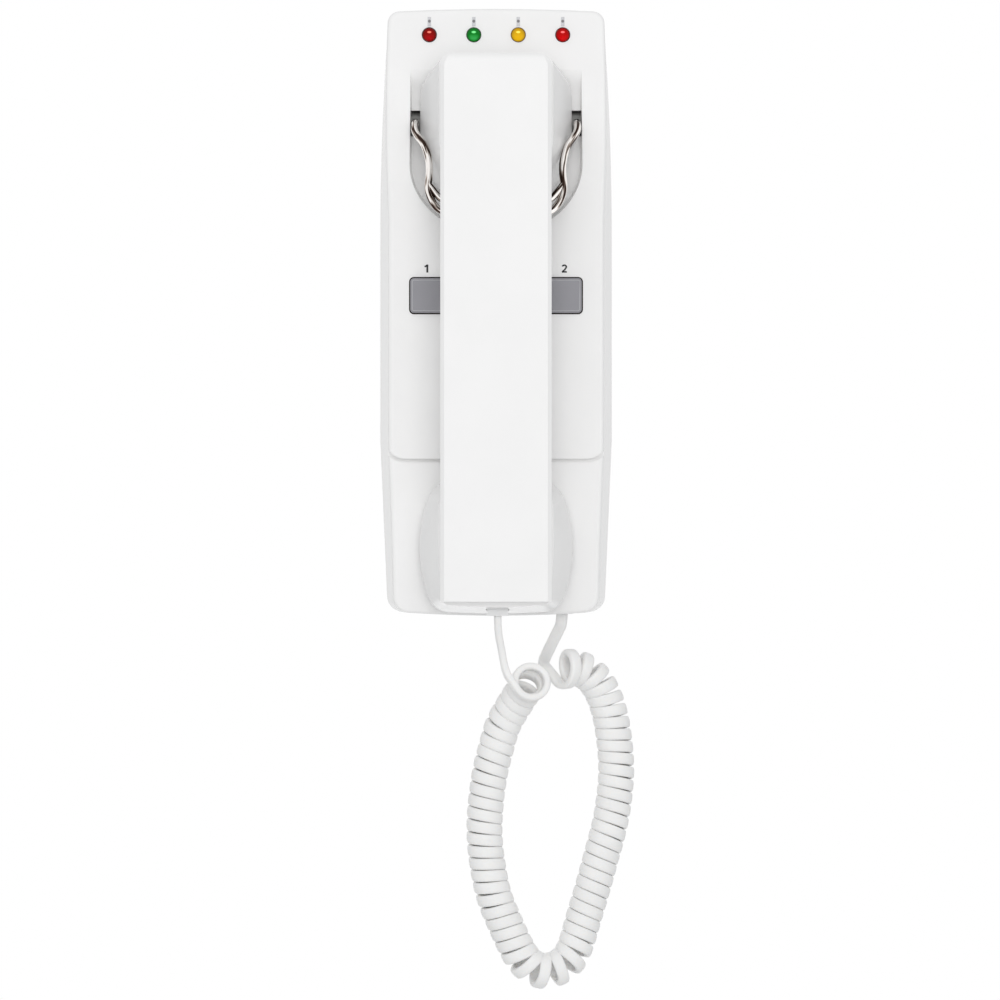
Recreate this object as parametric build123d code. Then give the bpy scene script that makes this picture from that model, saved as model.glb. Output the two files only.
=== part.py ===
"""Wall intercom set: a base on the wall, a handset that lifts off it, and the curly cord between them.

X runs to the right, Z up, and the wall is the plane Y = 0 with the set in front of it, towards -Y.
A depth is a distance from the wall, so a point at depth d lies at Y = -d. All sizes are millimetres.
"""

import os
from math import acos, cos, pi, radians, sin, tan

import numpy as np
from build123d import *

# What every cut and every fit shares
OVERRUN = 2.0
SEAT_GAP = 0.3
PLUG_GAP = 0.15
THREAD_GAP = 0.04
RUNNING_GAP = 0.05
FROM_END = (Align.CENTER, Align.CENTER, Align.MIN)

# The sizes that the others follow: the ear cup's height, the handle's width and the hook's shaft
EAR_MID_Z = 65.0
BAR_HALF_WIDTH = 20.1
PIVOT_DEPTH = 9.5
COVER_WALL = 2.2
ROCKER_BOSS_RADIUS = 4.0

# Ear cup and mouth cup, how far each reaches from its middle and past the handle's sides
EAR_OVERHANG = 7.65
EAR_HALF_WIDTH = BAR_HALF_WIDTH + EAR_OVERHANG
EAR_REACH = 30.0
EAR_TOP_Z = EAR_MID_Z + EAR_REACH
EAR_LOW_Z = EAR_MID_Z - EAR_REACH
MOUTH_OVERHANG = 7.6
MOUTH_HALF_WIDTH = BAR_HALF_WIDTH + MOUTH_OVERHANG

# Wall base, outline seen from the front
BASE_MARGIN = 16.3
BASE_HALF_HEIGHT = EAR_TOP_Z + BASE_MARGIN
RECESS_MARGIN = 3.25
RECESS_HALF_WIDTH = EAR_HALF_WIDTH + RECESS_MARGIN
CHEEK_WIDTH = 11.85
BASE_HALF_WIDTH = RECESS_HALF_WIDTH + CHEEK_WIDTH
BASE_TOP_TAPER = 3.25
BASE_TOP_HALF_WIDTH = BASE_HALF_WIDTH - BASE_TOP_TAPER
BASE_LOW_TAPER = 2.7
BASE_LOW_HALF_WIDTH = BASE_HALF_WIDTH - BASE_LOW_TAPER
BASE_TOP_CROWN = 1.1
BASE_LOW_CROWN = 1.5
BASE_TOP_CORNER = 4.4
BASE_LOW_CORNER = 6.0
SIDE_BULGE = 0.73
SIDE_LEAN_SHARE = 0.13

# Wall base, seen from the side
RECESS_ROOM = 2.8
RECESS_FLOOR = PIVOT_DEPTH + ROCKER_BOSS_RADIUS + RECESS_ROOM + COVER_WALL
PANEL_RISE = 8.5
PANEL_DEPTH = RECESS_FLOOR + PANEL_RISE
BROW_RISE = 4.0
BROW_DEPTH = RECESS_FLOOR + BROW_RISE
BROW_HEIGHT = 23.3
BROW_Z = BASE_HALF_HEIGHT - BROW_HEIGHT
BROW_BLEND = 30.0
CREASE_RISE = 12.6
CREASE_Z = EAR_LOW_Z + CREASE_RISE
SHOULDER_DROP = 14.6
SHOULDER_Z = CREASE_Z - SHOULDER_DROP
TRAY_HEIGHT = 57.6
PANEL_LOW_Z = TRAY_HEIGHT - BASE_HALF_HEIGHT
HIP_RISE = 6.7
HIP_Z = PANEL_LOW_Z + HIP_RISE
PANEL_CORNER = 7.2
PANEL_CORNER_REACH = 1.2
GROOVE_WIDTH = 1.3
GROOVE_SINK = 1.0
TRAY_STEP = 1.5
TRAY_DEPTH = PANEL_DEPTH - TRAY_STEP
TRAY_MID_FALL = 3.0
TRAY_MID_DEPTH = PANEL_DEPTH - TRAY_MID_FALL
TRAY_MID_RISE = 29.3
TRAY_MID_Z = TRAY_MID_RISE - BASE_HALF_HEIGHT
TRAY_LOW_FALL = 8.0
TRAY_LOW_DEPTH = PANEL_DEPTH - TRAY_LOW_FALL
COVER_RIM_DEPTH = 0.4
COVER_EDGE_ROUND = 1.3

# Recess for the ear cup
RECESS_SIDE_SHARE = 0.086
RECESS_MID_RISE = 19.4
RECESS_MID_Z = EAR_LOW_Z + RECESS_MID_RISE
RECESS_LOW_DROP = 5.6
RECESS_LOW_Z = EAR_LOW_Z - RECESS_LOW_DROP
RECESS_LOW_SHARE = 0.19
RECESS_CORNER = 9.0
RAMP_DROP = 19.0
RAMP_Z = EAR_TOP_Z - RAMP_DROP
RAMP_HOLLOW_RADIUS = 15.0
RAMP_CREST_RADIUS = 15.0
RAMP_END_ANGLE = 8.0
RAMP_LIP = 0.05

# Back plate
PLATE_THICKNESS = 2.5
PLATE_GAP = 0.25
WALL_SCREW_SPACING = 83.3
WALL_SCREW_RADIUS = 2.2
CABLE_ENTRY_HALF_WIDTH = 10.0
CABLE_ENTRY_DROP = 18.35
CABLE_ENTRY_TOP_Z = -WALL_SCREW_SPACING / 2 - CABLE_ENTRY_DROP
CABLE_ENTRY_HEIGHT = 18.0
CABLE_ENTRY_LOW_Z = CABLE_ENTRY_TOP_Z - CABLE_ENTRY_HEIGHT
CATCH_X = 22.0
CATCH_HALF_WIDTH = 4.0
CATCH_THICKNESS = 2.0
CATCH_HEIGHT = 12.0
CATCH_ROOT_Z = BASE_HALF_HEIGHT - CATCH_HEIGHT
CATCH_DEPTH = 5.4
COVER_SCREW_X = -14.0
COVER_SCREW_DEPTH = 8.0
COVER_SCREW_RADIUS = 1.5
COVER_SCREW_LENGTH = 9.0
COVER_SCREW_HEAD_RADIUS = 2.6
COVER_SCREW_HEAD = 1.3
LUG_HALF_WIDTH = 4.0
LUG_HEIGHT = 11.0

# Main board and what stands on it
BOARD_THICKNESS = 1.6
BOARD_DEPTH = 9.0
BOARD_SIDE_ROOM = 8.3
BOARD_HALF_WIDTH = BASE_HALF_WIDTH - BOARD_SIDE_ROOM
BOARD_TOP_Z = 22.0
BOARD_LOW_Z = -36.0
BOARD_SCREW_INSET = 5.0
POST_RADIUS = 3.0
BOARD_SCREW_RADIUS = 1.1
BOARD_SCREW_LENGTH = 5.0
BOARD_SCREW_HEAD_RADIUS = 2.2
BOARD_SCREW_HEAD = 1.4
BUZZER_RADIUS = 11.0
BUZZER_HEIGHT = 8.0
BUZZER_Z = -6.0
BUZZER_PORT_RADIUS = 2.0
BUZZER_PORT = 3.0
TERMINAL_HALF_LENGTH = 20.0
TERMINAL_MARGIN = 1.0
TERMINAL_LOW_Z = BOARD_LOW_Z + TERMINAL_MARGIN
TERMINAL_WIDTH = 8.4
TERMINAL_HEIGHT = 9.6
TERMINAL_COUNT = 6
TERMINAL_PITCH = 6.4
TERMINAL_SCREW_RADIUS = 1.9
TERMINAL_SCREW_SINK = 4.0
TERMINAL_WIRE_HALF = 1.4

# Push buttons and the switches behind them
BUTTON_OFFSET = 4.9
BUTTON_X = BAR_HALF_WIDTH + BUTTON_OFFSET
BUTTON_DROP = 23.4
BUTTON_Z = RECESS_LOW_Z - BUTTON_DROP
BUTTON_SIDE = 12.7
BUTTON_ROUND = 1.3
BUTTON_CHAMFER = 0.7
BUTTON_RISE = 2.0
BUTTON_GAP = 0.3
BUTTON_WALL = 1.6
BUTTON_SKIRT = 4.6
BUTTON_TRAVEL = 1.2
FLANGE_REACH = 1.3
FLANGE_THICKNESS = 1.2
STEM_RADIUS = 2.0
SWITCH_SIDE = 6.0
SWITCH_HEIGHT = 3.8
PLUNGER_RADIUS = 1.7
PLUNGER_LENGTH = 3.7
PLUNGER_SINK = 1.0

# Indicator lights and their board
LIGHT_DROP = 9.55
LIGHT_Z = BASE_HALF_HEIGHT - LIGHT_DROP
LIGHT_PITCH = 16.3
LIGHT_COUNT = 4
LIGHT_RADIUS = 2.5
LIGHT_HEIGHT = 8.6
LIGHT_FLANGE_RADIUS = 2.9
LIGHT_FLANGE = 1.0
LIGHT_RISE = 1.8
LIGHT_GAP = 0.1
LEG_RADIUS = 0.28
LEG_HALF_SPACING = 1.27
LEG_TAIL = 1.0
LIGHT_BOARD_SINK = 11.0
LIGHT_BOARD_DEPTH = BROW_DEPTH - LIGHT_BOARD_SINK
LIGHT_BOARD_SIDE_ROOM = 8.0
LIGHT_BOARD_HALF_WIDTH = BASE_TOP_HALF_WIDTH - LIGHT_BOARD_SIDE_ROOM
LIGHT_BOARD_HALF_HEIGHT = 4.0
LIGHT_POST_RADIUS = 2.4
RIBBON_X = -11.9
RIBBON_WIDTH = 3.0
RIBBON_THICKNESS = 0.9
RIBBON_DEPTH = 4.6
RIBBON_BEND = 3.0

# Hook: the wire, the rocker that carries it and the switch that it works
WIRE_RADIUS = 1.25
PIVOT_RISE = 5.0
PIVOT_Z = EAR_MID_Z + PIVOT_RISE
WIRE_SIDE_ROOM = 1.85
WIRE_X = EAR_HALF_WIDTH + WIRE_SIDE_ROOM
WIRE_BAR_RISE = 1.0
WIRE_BAR_Z = EAR_LOW_Z + WIRE_BAR_RISE
# Each bend of the hook's wire: its place across, forward and down, as shares of the wire's whole reach.
WIRE_BEND_SHARES = (
    (1.0, 0.422, 0.0),
    (0.986, 0.672, 0.112),
    (0.878, 0.859, 0.279),
    (0.797, 0.969, 0.471),
    (0.831, 1.0, 0.706),
    (0.730, 1.0, 0.959),
    (0.507, 1.0, 1.0),
)
SLOT_HALF_WIDTH = 1.9
SLOT_DROP = 5.3
SLOT_LOW_Z = PIVOT_Z - SLOT_DROP
SLOT_RISE = 4.2
SLOT_TOP_Z = PIVOT_Z + SLOT_RISE
ROCKER_RADIUS = 3.0
ROCKER_END = 1.6
ROCKER_HALF_LENGTH = WIRE_X + ROCKER_END
ROCKER_BOSS_LENGTH = 4.6
STUB_RADIUS = 2.0
BUSH_RADIUS = 3.2
BUSH_FLANGE_RADIUS = 4.2
BUSH_FLANGE = 0.8
CHEEK_THICKNESS = 2.6
CHEEK_HALF_WIDTH = 5.5
STUB_TAIL = 0.4
TAB_HALF_WIDTH = 2.0
TAB_THICKNESS = 2.6
TAB_DROP = 13.0
TAB_LOW_Z = PIVOT_Z - TAB_DROP
SWITCH_TAB_X = 9.4
SPRING_TAB_X = -18.0
HOOK_SWITCH_HALF_LENGTH = 6.4
HOOK_SWITCH_HEIGHT = 5.8
HOOK_SWITCH_DROP = 14.6
HOOK_SWITCH_LOW_Z = PIVOT_Z - HOOK_SWITCH_DROP
HOOK_SWITCH_WIDTH = 6.5
HOOK_SWITCH_BUTTON_RADIUS = 1.0
HOOK_SWITCH_HOLE_SPACING = 9.5
HOOK_SWITCH_SCREW_RADIUS = 1.0
HOOK_SWITCH_HEAD_RADIUS = 1.7
HOOK_SWITCH_HEAD = 1.0
HOOK_SWITCH_HOLE_RISE = 1.8
HOOK_SWITCH_HOLE_Z = HOOK_SWITCH_LOW_Z + HOOK_SWITCH_HOLE_RISE
SPRING_DROP = 10.0
SPRING_Z = PIVOT_Z - SPRING_DROP
SPRING_RADIUS = 2.3
SPRING_WIRE = 0.5
SPRING_TURNS = 4

# Handset
BAR_STAND = 21.0
BAR_BACK_DEPTH = PANEL_DEPTH + BAR_STAND
BAR_THICKNESS = 14.0
BAR_FRONT_DEPTH = BAR_BACK_DEPTH + BAR_THICKNESS
FRONT_SHELL_THICKNESS = 8.0
SPLIT_DEPTH = BAR_FRONT_DEPTH - FRONT_SHELL_THICKNESS
BAR_TOP_INSET = 2.5
BAR_TOP_Z = EAR_TOP_Z - BAR_TOP_INSET
BAR_CORNER = 4.4
BAR_BEVEL = 1.4
ROLL_HEIGHT = 3.6
ROLL_RADIUS = 4.5
ROLL_LIP = 0.05
ROLL_END_ANGLE = 70.0
WIRE_BAR_SINK = 6.5
WIRE_BAR_DEPTH = BAR_BACK_DEPTH - WIRE_BAR_SINK
HANDLE_ROUND = 2.4
SHELL_WALL = 2.0
CUP_STEP = 0.6
EAR_FLOAT = 1.7
EAR_REAR_DEPTH = RECESS_FLOOR + EAR_FLOAT
EAR_WIDE_STEP = 3.8
EAR_WIDE_DEPTH = EAR_REAR_DEPTH + EAR_WIDE_STEP
EAR_CAP_THICKNESS = 6.8
EAR_CAP_DEPTH = EAR_REAR_DEPTH + EAR_CAP_THICKNESS
EAR_CORNER = 8.0
EAR_WIDE_TOP_DROP = 6.6
EAR_WIDE_TOP_Z = EAR_TOP_Z - EAR_WIDE_TOP_DROP
EAR_FRONT_TOP_INSET = 1.8
EAR_FRONT_TOP_Z = EAR_TOP_Z - EAR_FRONT_TOP_INSET
EAR_FRONT_CORNER = 5.0
EAR_FRONT_MID_DROP = 3.0
EAR_FRONT_MID_Z = EAR_MID_Z - EAR_FRONT_MID_DROP
EAR_FRONT_LOW_INSET = 12.0
EAR_FRONT_LOW_Z = EAR_LOW_Z + EAR_FRONT_LOW_INSET
EAR_CURVE_LOW_INSET = 33.0
EAR_CURVE_LOW_Z = EAR_TOP_Z - EAR_CURVE_LOW_INSET
EAR_CURVE_MID_STEP = 6.4
EAR_CURVE_MID_DEPTH = EAR_REAR_DEPTH + EAR_CURVE_MID_STEP
EAR_CURVE_MID_INSET = 11.0
EAR_CURVE_MID_Z = EAR_TOP_Z - EAR_CURVE_MID_INSET
EAR_CURVE_TOP_STEP = 5.0
EAR_CURVE_TOP_DEPTH = BAR_BACK_DEPTH - EAR_CURVE_TOP_STEP
EAR_EDGE_ROUND = 1.2
MOUTH_CAP_STAND = 5.5
MOUTH_CAP_DEPTH = TRAY_DEPTH + MOUTH_CAP_STAND
MOUTH_RISE = 30.3
MOUTH_MID_Z = MOUTH_RISE - BASE_HALF_HEIGHT
MOUTH_LOW_OVERHANG = 2.5
MOUTH_LOW_HALF_WIDTH = BAR_HALF_WIDTH + MOUTH_LOW_OVERHANG
MOUTH_DROP = 28.3
MOUTH_LOW_Z = MOUTH_MID_Z - MOUTH_DROP
MOUTH_LOW_CROWN = 1.0
MOUTH_TOP_OVERHANG = 3.9
MOUTH_TOP_HALF_WIDTH = BAR_HALF_WIDTH + MOUTH_TOP_OVERHANG
MOUTH_TOP_RISE = 15.2
MOUTH_TOP_Z = MOUTH_MID_Z + MOUTH_TOP_RISE
MOUTH_NECK_INSET = 2.1
MOUTH_NECK_HALF_WIDTH = BAR_HALF_WIDTH - MOUTH_NECK_INSET
MOUTH_NECK_RISE = 20.5
MOUTH_NECK_Z = MOUTH_MID_Z + MOUTH_NECK_RISE
MOUTH_CORNER = 8.0
MOUTH_SHOULDER = 9.0
MOUTH_FRONT_CORNER = 3.0
MOUTH_FRONT_SHOULDER = 6.0
MOUTH_FRONT_OVERHANG = 0.8
MOUTH_FRONT_HALF_WIDTH = BAR_HALF_WIDTH + MOUTH_FRONT_OVERHANG
MOUTH_FRONT_LOW_INSET = 0.7
MOUTH_FRONT_LOW_HALF_WIDTH = BAR_HALF_WIDTH - MOUTH_FRONT_LOW_INSET
MOUTH_FRONT_DROP = 25.6
MOUTH_FRONT_LOW_Z = MOUTH_MID_Z - MOUTH_FRONT_DROP
MOUTH_FRONT_TOP_OVERHANG = 0.4
MOUTH_FRONT_TOP_HALF_WIDTH = BAR_HALF_WIDTH + MOUTH_FRONT_TOP_OVERHANG
MOUTH_FRONT_TOP_RISE = 13.0
MOUTH_FRONT_TOP_Z = MOUTH_MID_Z + MOUTH_FRONT_TOP_RISE
MOUTH_FRONT_NECK_INSET = 4.1
MOUTH_FRONT_NECK_HALF_WIDTH = BAR_HALF_WIDTH - MOUTH_FRONT_NECK_INSET
MOUTH_FRONT_NECK_RISE = 17.0
MOUTH_FRONT_NECK_Z = MOUTH_MID_Z + MOUTH_FRONT_NECK_RISE
MOUTH_EDGE_ROUND = 2.4
REAR_FACING_SHARE = 0.2
BAR_LOW_DROP = 24.5
BAR_LOW_Z = MOUTH_MID_Z - BAR_LOW_DROP

# Inside the handset
EARPIECE_DROP = 7.4
EARPIECE_Z = EAR_MID_Z - EARPIECE_DROP
EARPIECE_SIDE_ROOM = 14.0
EARPIECE_RADIUS = EAR_REACH - EARPIECE_SIDE_ROOM
EARPIECE_HEIGHT = 8.2
EARPIECE_SINK = 4.4
EARPIECE_SEAT_DEPTH = EAR_REAR_DEPTH + EARPIECE_SINK
EARPIECE_LEDGE = 1.4
EARPIECE_SEAT_RADIUS = EARPIECE_RADIUS - EARPIECE_LEDGE
EARPIECE_SEAT_WALL = 1.4
MAGNET_SIDE_ROOM = 8.0
MAGNET_RADIUS = EARPIECE_RADIUS - MAGNET_SIDE_ROOM
MAGNET_HEIGHT = 3.0
SOUND_HOLE_RADIUS = 1.2
SOUND_RING_RADIUS = 6.5
SOUND_RING_COUNT = 6
MICROPHONE_DROP = 5.0
MICROPHONE_Z = MOUTH_MID_Z - MICROPHONE_DROP
MICROPHONE_RADIUS = 4.85
MICROPHONE_HEIGHT = 6.7
BOOT_WALL = 2.0
BOOT_FLOOR = 1.5
HANDSET_SCREW_TOP_DROP = 4.0
HANDSET_SCREW_TOP_Z = EAR_LOW_Z - HANDSET_SCREW_TOP_DROP
HANDSET_SCREW_LOW_RISE = 8.5
HANDSET_SCREW_LOW_Z = MOUTH_NECK_Z + HANDSET_SCREW_LOW_RISE
HANDSET_SCREW_RADIUS = 1.4
HANDSET_SCREW_HEAD_RADIUS = 2.6
HANDSET_SCREW_HEAD = 1.5
HANDSET_SCREW_SINK = 1.0
HANDSET_SCREW_LENGTH = 8.0
HANDSET_BOSS_RADIUS = 3.6
HANDSET_WIRE_RADIUS = 0.6
BALLAST_SIDE_ROOM = 8.1
BALLAST_HALF_WIDTH = BAR_HALF_WIDTH - BALLAST_SIDE_ROOM
BALLAST_THICKNESS = 7.0
BALLAST_LOW_ROOM = 8.0
BALLAST_LOW_Z = HANDSET_SCREW_LOW_Z + BALLAST_LOW_ROOM
BALLAST_TOP_ROOM = 7.0
BALLAST_TOP_Z = HANDSET_SCREW_TOP_Z - BALLAST_TOP_ROOM

# Cord plugs and the jacks that take them
PLUG_WIDTH = 7.65
PLUG_DEPTH = 6.6
PLUG_LENGTH = 12.6
JACK_WIDTH = 12.0
JACK_DEPTH = 12.0
JACK_HEIGHT = 13.0
HANDSET_PLUG_X = 0.65
HANDSET_PLUG_SINK = 3.5
HANDSET_PLUG_DEPTH = BAR_BACK_DEPTH - HANDSET_PLUG_SINK
HANDSET_PLUG_DROP = 29.9
HANDSET_PLUG_Z = MOUTH_MID_Z - HANDSET_PLUG_DROP
HANDSET_JACK_DROP = 24.2
HANDSET_JACK_Z = MOUTH_MID_Z - HANDSET_JACK_DROP
BASE_PLUG_X = 24.3
BASE_PLUG_DEPTH = 9.0
BASE_PLUG_RISE = 0.6
BASE_PLUG_Z = BASE_PLUG_RISE - BASE_HALF_HEIGHT

# Curly cord: the curls wind round an axis, and a free tail leads to each plug
CORD_DIAMETER = 3.0
CURL_RADIUS = 5.15
CURL_TURNS = 53.43
CURL_START_ANGLE = 194.0
CURL_END_FLARE = 1.2
CURL_END_TURNS = 1.5
CURL_LEAD_RUN = 4.0
CURL_BEND_REACH = 4.8
CURL_SMOOTHING = 5.0
CURL_ARC_TURNS_SHARE = 0.25
CURL_SAMPLES = 6000
TAIL_BEND_SHARE = 0.45
HANDSET_TAIL_LEAD = 5.5
BASE_TAIL_LEAD = 3.4
# Each place of the cord's routes: across, out from the wall, and up from the base's lower edge.
CURL_AXIS = [
    (13.0, 50.0, -22.9),
    (12.1, 45.5, -23.7),
    (10.3, 40.9, -26.2),
    (7.3, 37.4, -31.2),
    (4.3, 35.5, -35.9),
    (1.9, 34.6, -40.8),
    (0.1, 33.9, -47.7),
    (-2.4, 34.0, -56.9),
    (-4.1, 34.0, -70.9),
    (-4.3, 34.0, -80.6),
    (-3.3, 34.0, -90.0),
    (-1.0, 34.0, -101.9),
    (2.4, 34.0, -109.9),
    (6.0, 34.0, -118.1),
    (10.4, 34.0, -126.5),
    (17.4, 34.0, -130.4),
    (25.6, 33.8, -126.9),
    (28.8, 33.5, -121.5),
    (31.9, 33.2, -110.1),
    (35.2, 33.0, -99.5),
    (38.5, 32.8, -87.1),
    (41.3, 32.5, -77.5),
    (43.1, 32.2, -67.7),
    (44.1, 32.0, -56.8),
    (43.5, 32.0, -46.8),
    (42.2, 32.3, -37.9),
    (40.4, 33.0, -31.1),
    (37.7, 34.1, -25.0),
    (33.8, 36.2, -20.4),
    (29.2, 38.5, -18.3),
    (24.4, 41.6, -18.8),
]
HANDSET_TAIL = [
    (1.9, 46.2, -11.3),
]
BASE_TAIL = [
    (22.8, 10.6, -5.9),
    (19.6, 15.4, -12.1),
    (17.0, 24.0, -17.5),
]


def spot(x, depth, z):
    """Returns the point at a distance to the right, a depth from the wall and a height."""
    return Vector(x, -depth, z)


def cord_spot(place):
    """Returns the point of one place of the cord's routes."""
    x, depth, rise = place
    return spot(x, depth, rise - BASE_HALF_HEIGHT)


def block(x_span, depth_span, z_span):
    """Returns a box between two values on each of width, depth and height."""
    (left, right), (back, front), (low, top) = x_span, depth_span, z_span
    middle = spot((left + right) / 2, (back + front) / 2, (low + top) / 2)
    return Pos(*middle) * Box(right - left, front - back, top - low)


def around(centre, half):
    """Returns the span that reaches half to each side of a centre."""
    return (centre - half, centre + half)


def pin(x, z, radius, back, front):
    """Returns a round pin that runs straight out from the wall between two depths."""
    return Pos(x, -back, z) * Rot(90, 0, 0) * Cylinder(radius, front - back, align=FROM_END)


def rod(depth, z, radius, left, right):
    """Returns a round rod along the width between two places."""
    return Pos(left, -depth, z) * Rot(0, 90, 0) * Cylinder(radius, right - left, align=FROM_END)


def stud(x, depth, radius, low, top):
    """Returns a round stud that stands upright between two heights."""
    return Pos(x, -depth, low) * Cylinder(radius, top - low, align=(Align.CENTER, Align.CENTER, Align.MIN))


def front_face(edges, depth):
    """Returns the face that edges drawn in width and height enclose, at a depth and facing the front."""
    plane = Plane(origin=(0, -depth, 0), x_dir=(1, 0, 0), z_dir=(0, -1, 0))
    return plane * make_face(edges)


def side_prism(edges, half_width):
    """Returns the prism across the width over edges drawn in depth and height."""
    plane = Plane(origin=(half_width, 0, 0), x_dir=(0, -1, 0), z_dir=(-1, 0, 0))
    return extrude(plane * make_face(edges), half_width * 2)


def rounded_at(face, corners, radius):
    """Returns a face with the corners nearest to the given places rounded off."""
    picked = []
    for corner in corners:
        picked.append(min(face.vertices(), key=lambda vertex: (Vector(*vertex) - Vector(*corner)).length))
    return fillet(picked, radius)


def bend_radii(points, share):
    """Returns the radius of each bend of a route, the largest that a share of its shorter run allows."""
    radii = []
    for before, corner, after in zip(points, points[1:], points[2:]):
        first = corner - before
        second = after - corner
        turn = radians(first.get_angle(second))
        radii.append(share * min(first.length, second.length) / tan(turn / 2))
    return radii


def tube(points, radius, share=TAIL_BEND_SHARE):
    """Returns a round tube along straight runs joined by the largest bends, and the bends' radii."""
    radii = bend_radii(points, share)
    line = FilletPolyline(*points, radius=radii)
    section = Plane(origin=line @ 0, z_dir=line % 0) * Circle(radius)
    return sweep(section, path=line), radii


def base_outline(depth, inset):
    """Returns the base's outline at a depth, drawn in by an inset."""
    lean = SIDE_LEAN_SHARE * depth
    top_x = BASE_TOP_HALF_WIDTH - inset
    mid_x = BASE_HALF_WIDTH - lean - inset
    low_x = BASE_LOW_HALF_WIDTH - lean - inset
    top_z = BASE_HALF_HEIGHT - inset
    top_corner_z = top_z - BASE_TOP_CROWN
    low_corner_z = BASE_LOW_CROWN - top_z
    bulge_x = (top_x + mid_x) / 2 + SIDE_BULGE
    bulge_z = (top_corner_z + SHOULDER_Z) / 2
    edges = [
        ThreePointArc((-top_x, top_corner_z), (0, top_z), (top_x, top_corner_z)),
        ThreePointArc((top_x, top_corner_z), (bulge_x, bulge_z), (mid_x, SHOULDER_Z)),
        Polyline((mid_x, SHOULDER_Z), (mid_x, HIP_Z), (low_x, low_corner_z)),
        ThreePointArc((low_x, low_corner_z), (0, -top_z), (-low_x, low_corner_z)),
        Polyline((-low_x, low_corner_z), (-mid_x, HIP_Z), (-mid_x, SHOULDER_Z)),
        ThreePointArc((-mid_x, SHOULDER_Z), (-bulge_x, bulge_z), (-top_x, top_corner_z)),
    ]
    face = front_face(edges, depth)
    top_corners = [spot(side * top_x, depth, top_corner_z) for side in (-1, 1)]
    low_corners = [spot(side * low_x, depth, low_corner_z) for side in (-1, 1)]
    face = rounded_at(face, top_corners, BASE_TOP_CORNER - inset / 2)
    return rounded_at(face, low_corners, BASE_LOW_CORNER - inset / 2)


def panel_prism(growth, back):
    """Returns a prism over the raised panel's lower part, grown all round, from a depth to past its front."""
    panel_x = BASE_HALF_WIDTH - SIDE_LEAN_SHARE * PANEL_DEPTH + PANEL_CORNER_REACH + growth
    low_z = PANEL_LOW_Z - growth
    top_z = PANEL_LOW_Z + PANEL_CORNER * 2
    corners = [(-panel_x, low_z), (panel_x, low_z), (panel_x, top_z), (-panel_x, top_z)]
    face = front_face(Polyline(*corners, close=True), back)
    low_corners = [spot(side * panel_x, back, low_z) for side in (-1, 1)]
    return extrude(rounded_at(face, low_corners, PANEL_CORNER + growth), PANEL_DEPTH + OVERRUN * 2 - back)


def panel_groove():
    """Returns the narrow groove along the raised panel's lower edge and round its corners."""
    back = TRAY_DEPTH - GROOVE_SINK
    return panel_prism(GROOVE_WIDTH, back) - panel_prism(0, back)


def tray_cut(inset):
    """Returns what is cut away in front of the lower tray, up to the raised panel's rounded corners."""
    tall = BASE_HALF_HEIGHT + OVERRUN
    far = PANEL_DEPTH + OVERRUN
    top_z = PANEL_LOW_Z + PANEL_CORNER + inset
    depths = (TRAY_DEPTH - inset, TRAY_MID_DEPTH - inset, TRAY_LOW_DEPTH - inset)
    edges = [
        ThreePointArc((depths[0], top_z), (depths[1], TRAY_MID_Z), (depths[2], -tall)),
        Polyline((depths[2], -tall), (far, -tall), (far, top_z), (depths[0], top_z)),
    ]
    cut = side_prism(edges, BASE_HALF_WIDTH + OVERRUN)
    if inset:
        return cut
    return cut - panel_prism(0, 0)


def base_form(inset, start):
    """Returns the base's filled form, drawn in by an inset, from a starting depth to its front."""
    far = PANEL_DEPTH + OVERRUN
    tall = BASE_HALF_HEIGHT + OVERRUN
    drafted = loft([base_outline(start, inset), base_outline(far, inset)], ruled=True)
    panel = PANEL_DEPTH - inset
    brow = BROW_DEPTH - inset
    profile = Polyline(
        (start, -tall),
        (panel, -tall),
        (panel, CREASE_Z),
        (brow, BROW_Z),
        (brow, tall),
        (start, tall),
        close=True,
    )
    plane = Plane(origin=(BASE_HALF_WIDTH, 0, 0), x_dir=(0, -1, 0), z_dir=(-1, 0, 0))
    face = plane * make_face(profile)
    face = rounded_at(face, [spot(BASE_HALF_WIDTH, brow, BROW_Z)], BROW_BLEND)
    return (drafted & extrude(face, BASE_HALF_WIDTH * 2)) - tray_cut(inset)


def cup_outline(depth, half_width, top_z, corner, mid_z, low_z):
    """Returns a shield outline: a flat top with round corners, straight sides and half an ellipse below."""
    edges = [
        Line((-half_width + corner, top_z), (half_width - corner, top_z)),
        RadiusArc((half_width - corner, top_z), (half_width, top_z - corner), corner),
        Line((half_width, top_z - corner), (half_width, mid_z)),
        EllipticalCenterArc((0, mid_z), half_width, mid_z - low_z, start_angle=180, arc_size=180),
        Line((-half_width, mid_z), (-half_width, top_z - corner)),
        RadiusArc((-half_width, top_z - corner), (-half_width + corner, top_z), corner),
    ]
    return front_face(edges, depth)


def ramp_places(growth):
    """Returns the ramp from the recess's floor to the brow, in depth and height, grown by a wall.

    It is a hollow bend and then a round one that meets the brow at a small angle. Its five places are the
    start, the middle of the first bend, where the bends meet, the middle of the second, and the end.
    """
    hollow = RAMP_HOLLOW_RADIUS + growth
    crest = RAMP_CREST_RADIUS - growth
    both = hollow + crest
    last = radians(RAMP_END_ANGLE)
    run = RAMP_HOLLOW_RADIUS + RAMP_CREST_RADIUS * cos(last) - BROW_RISE - RAMP_LIP
    turn = acos(run / both)
    centre = RECESS_FLOOR + RAMP_HOLLOW_RADIUS
    places = [(centre - hollow * cos(angle), RAMP_Z + hollow * sin(angle)) for angle in (0, turn / 2, turn)]
    crest_depth, crest_z = centre - both * cos(turn), RAMP_Z + both * sin(turn)
    for angle in ((turn + last) / 2, last):
        places.append((crest_depth + crest * cos(angle), crest_z - crest * sin(angle)))
    return places


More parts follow.
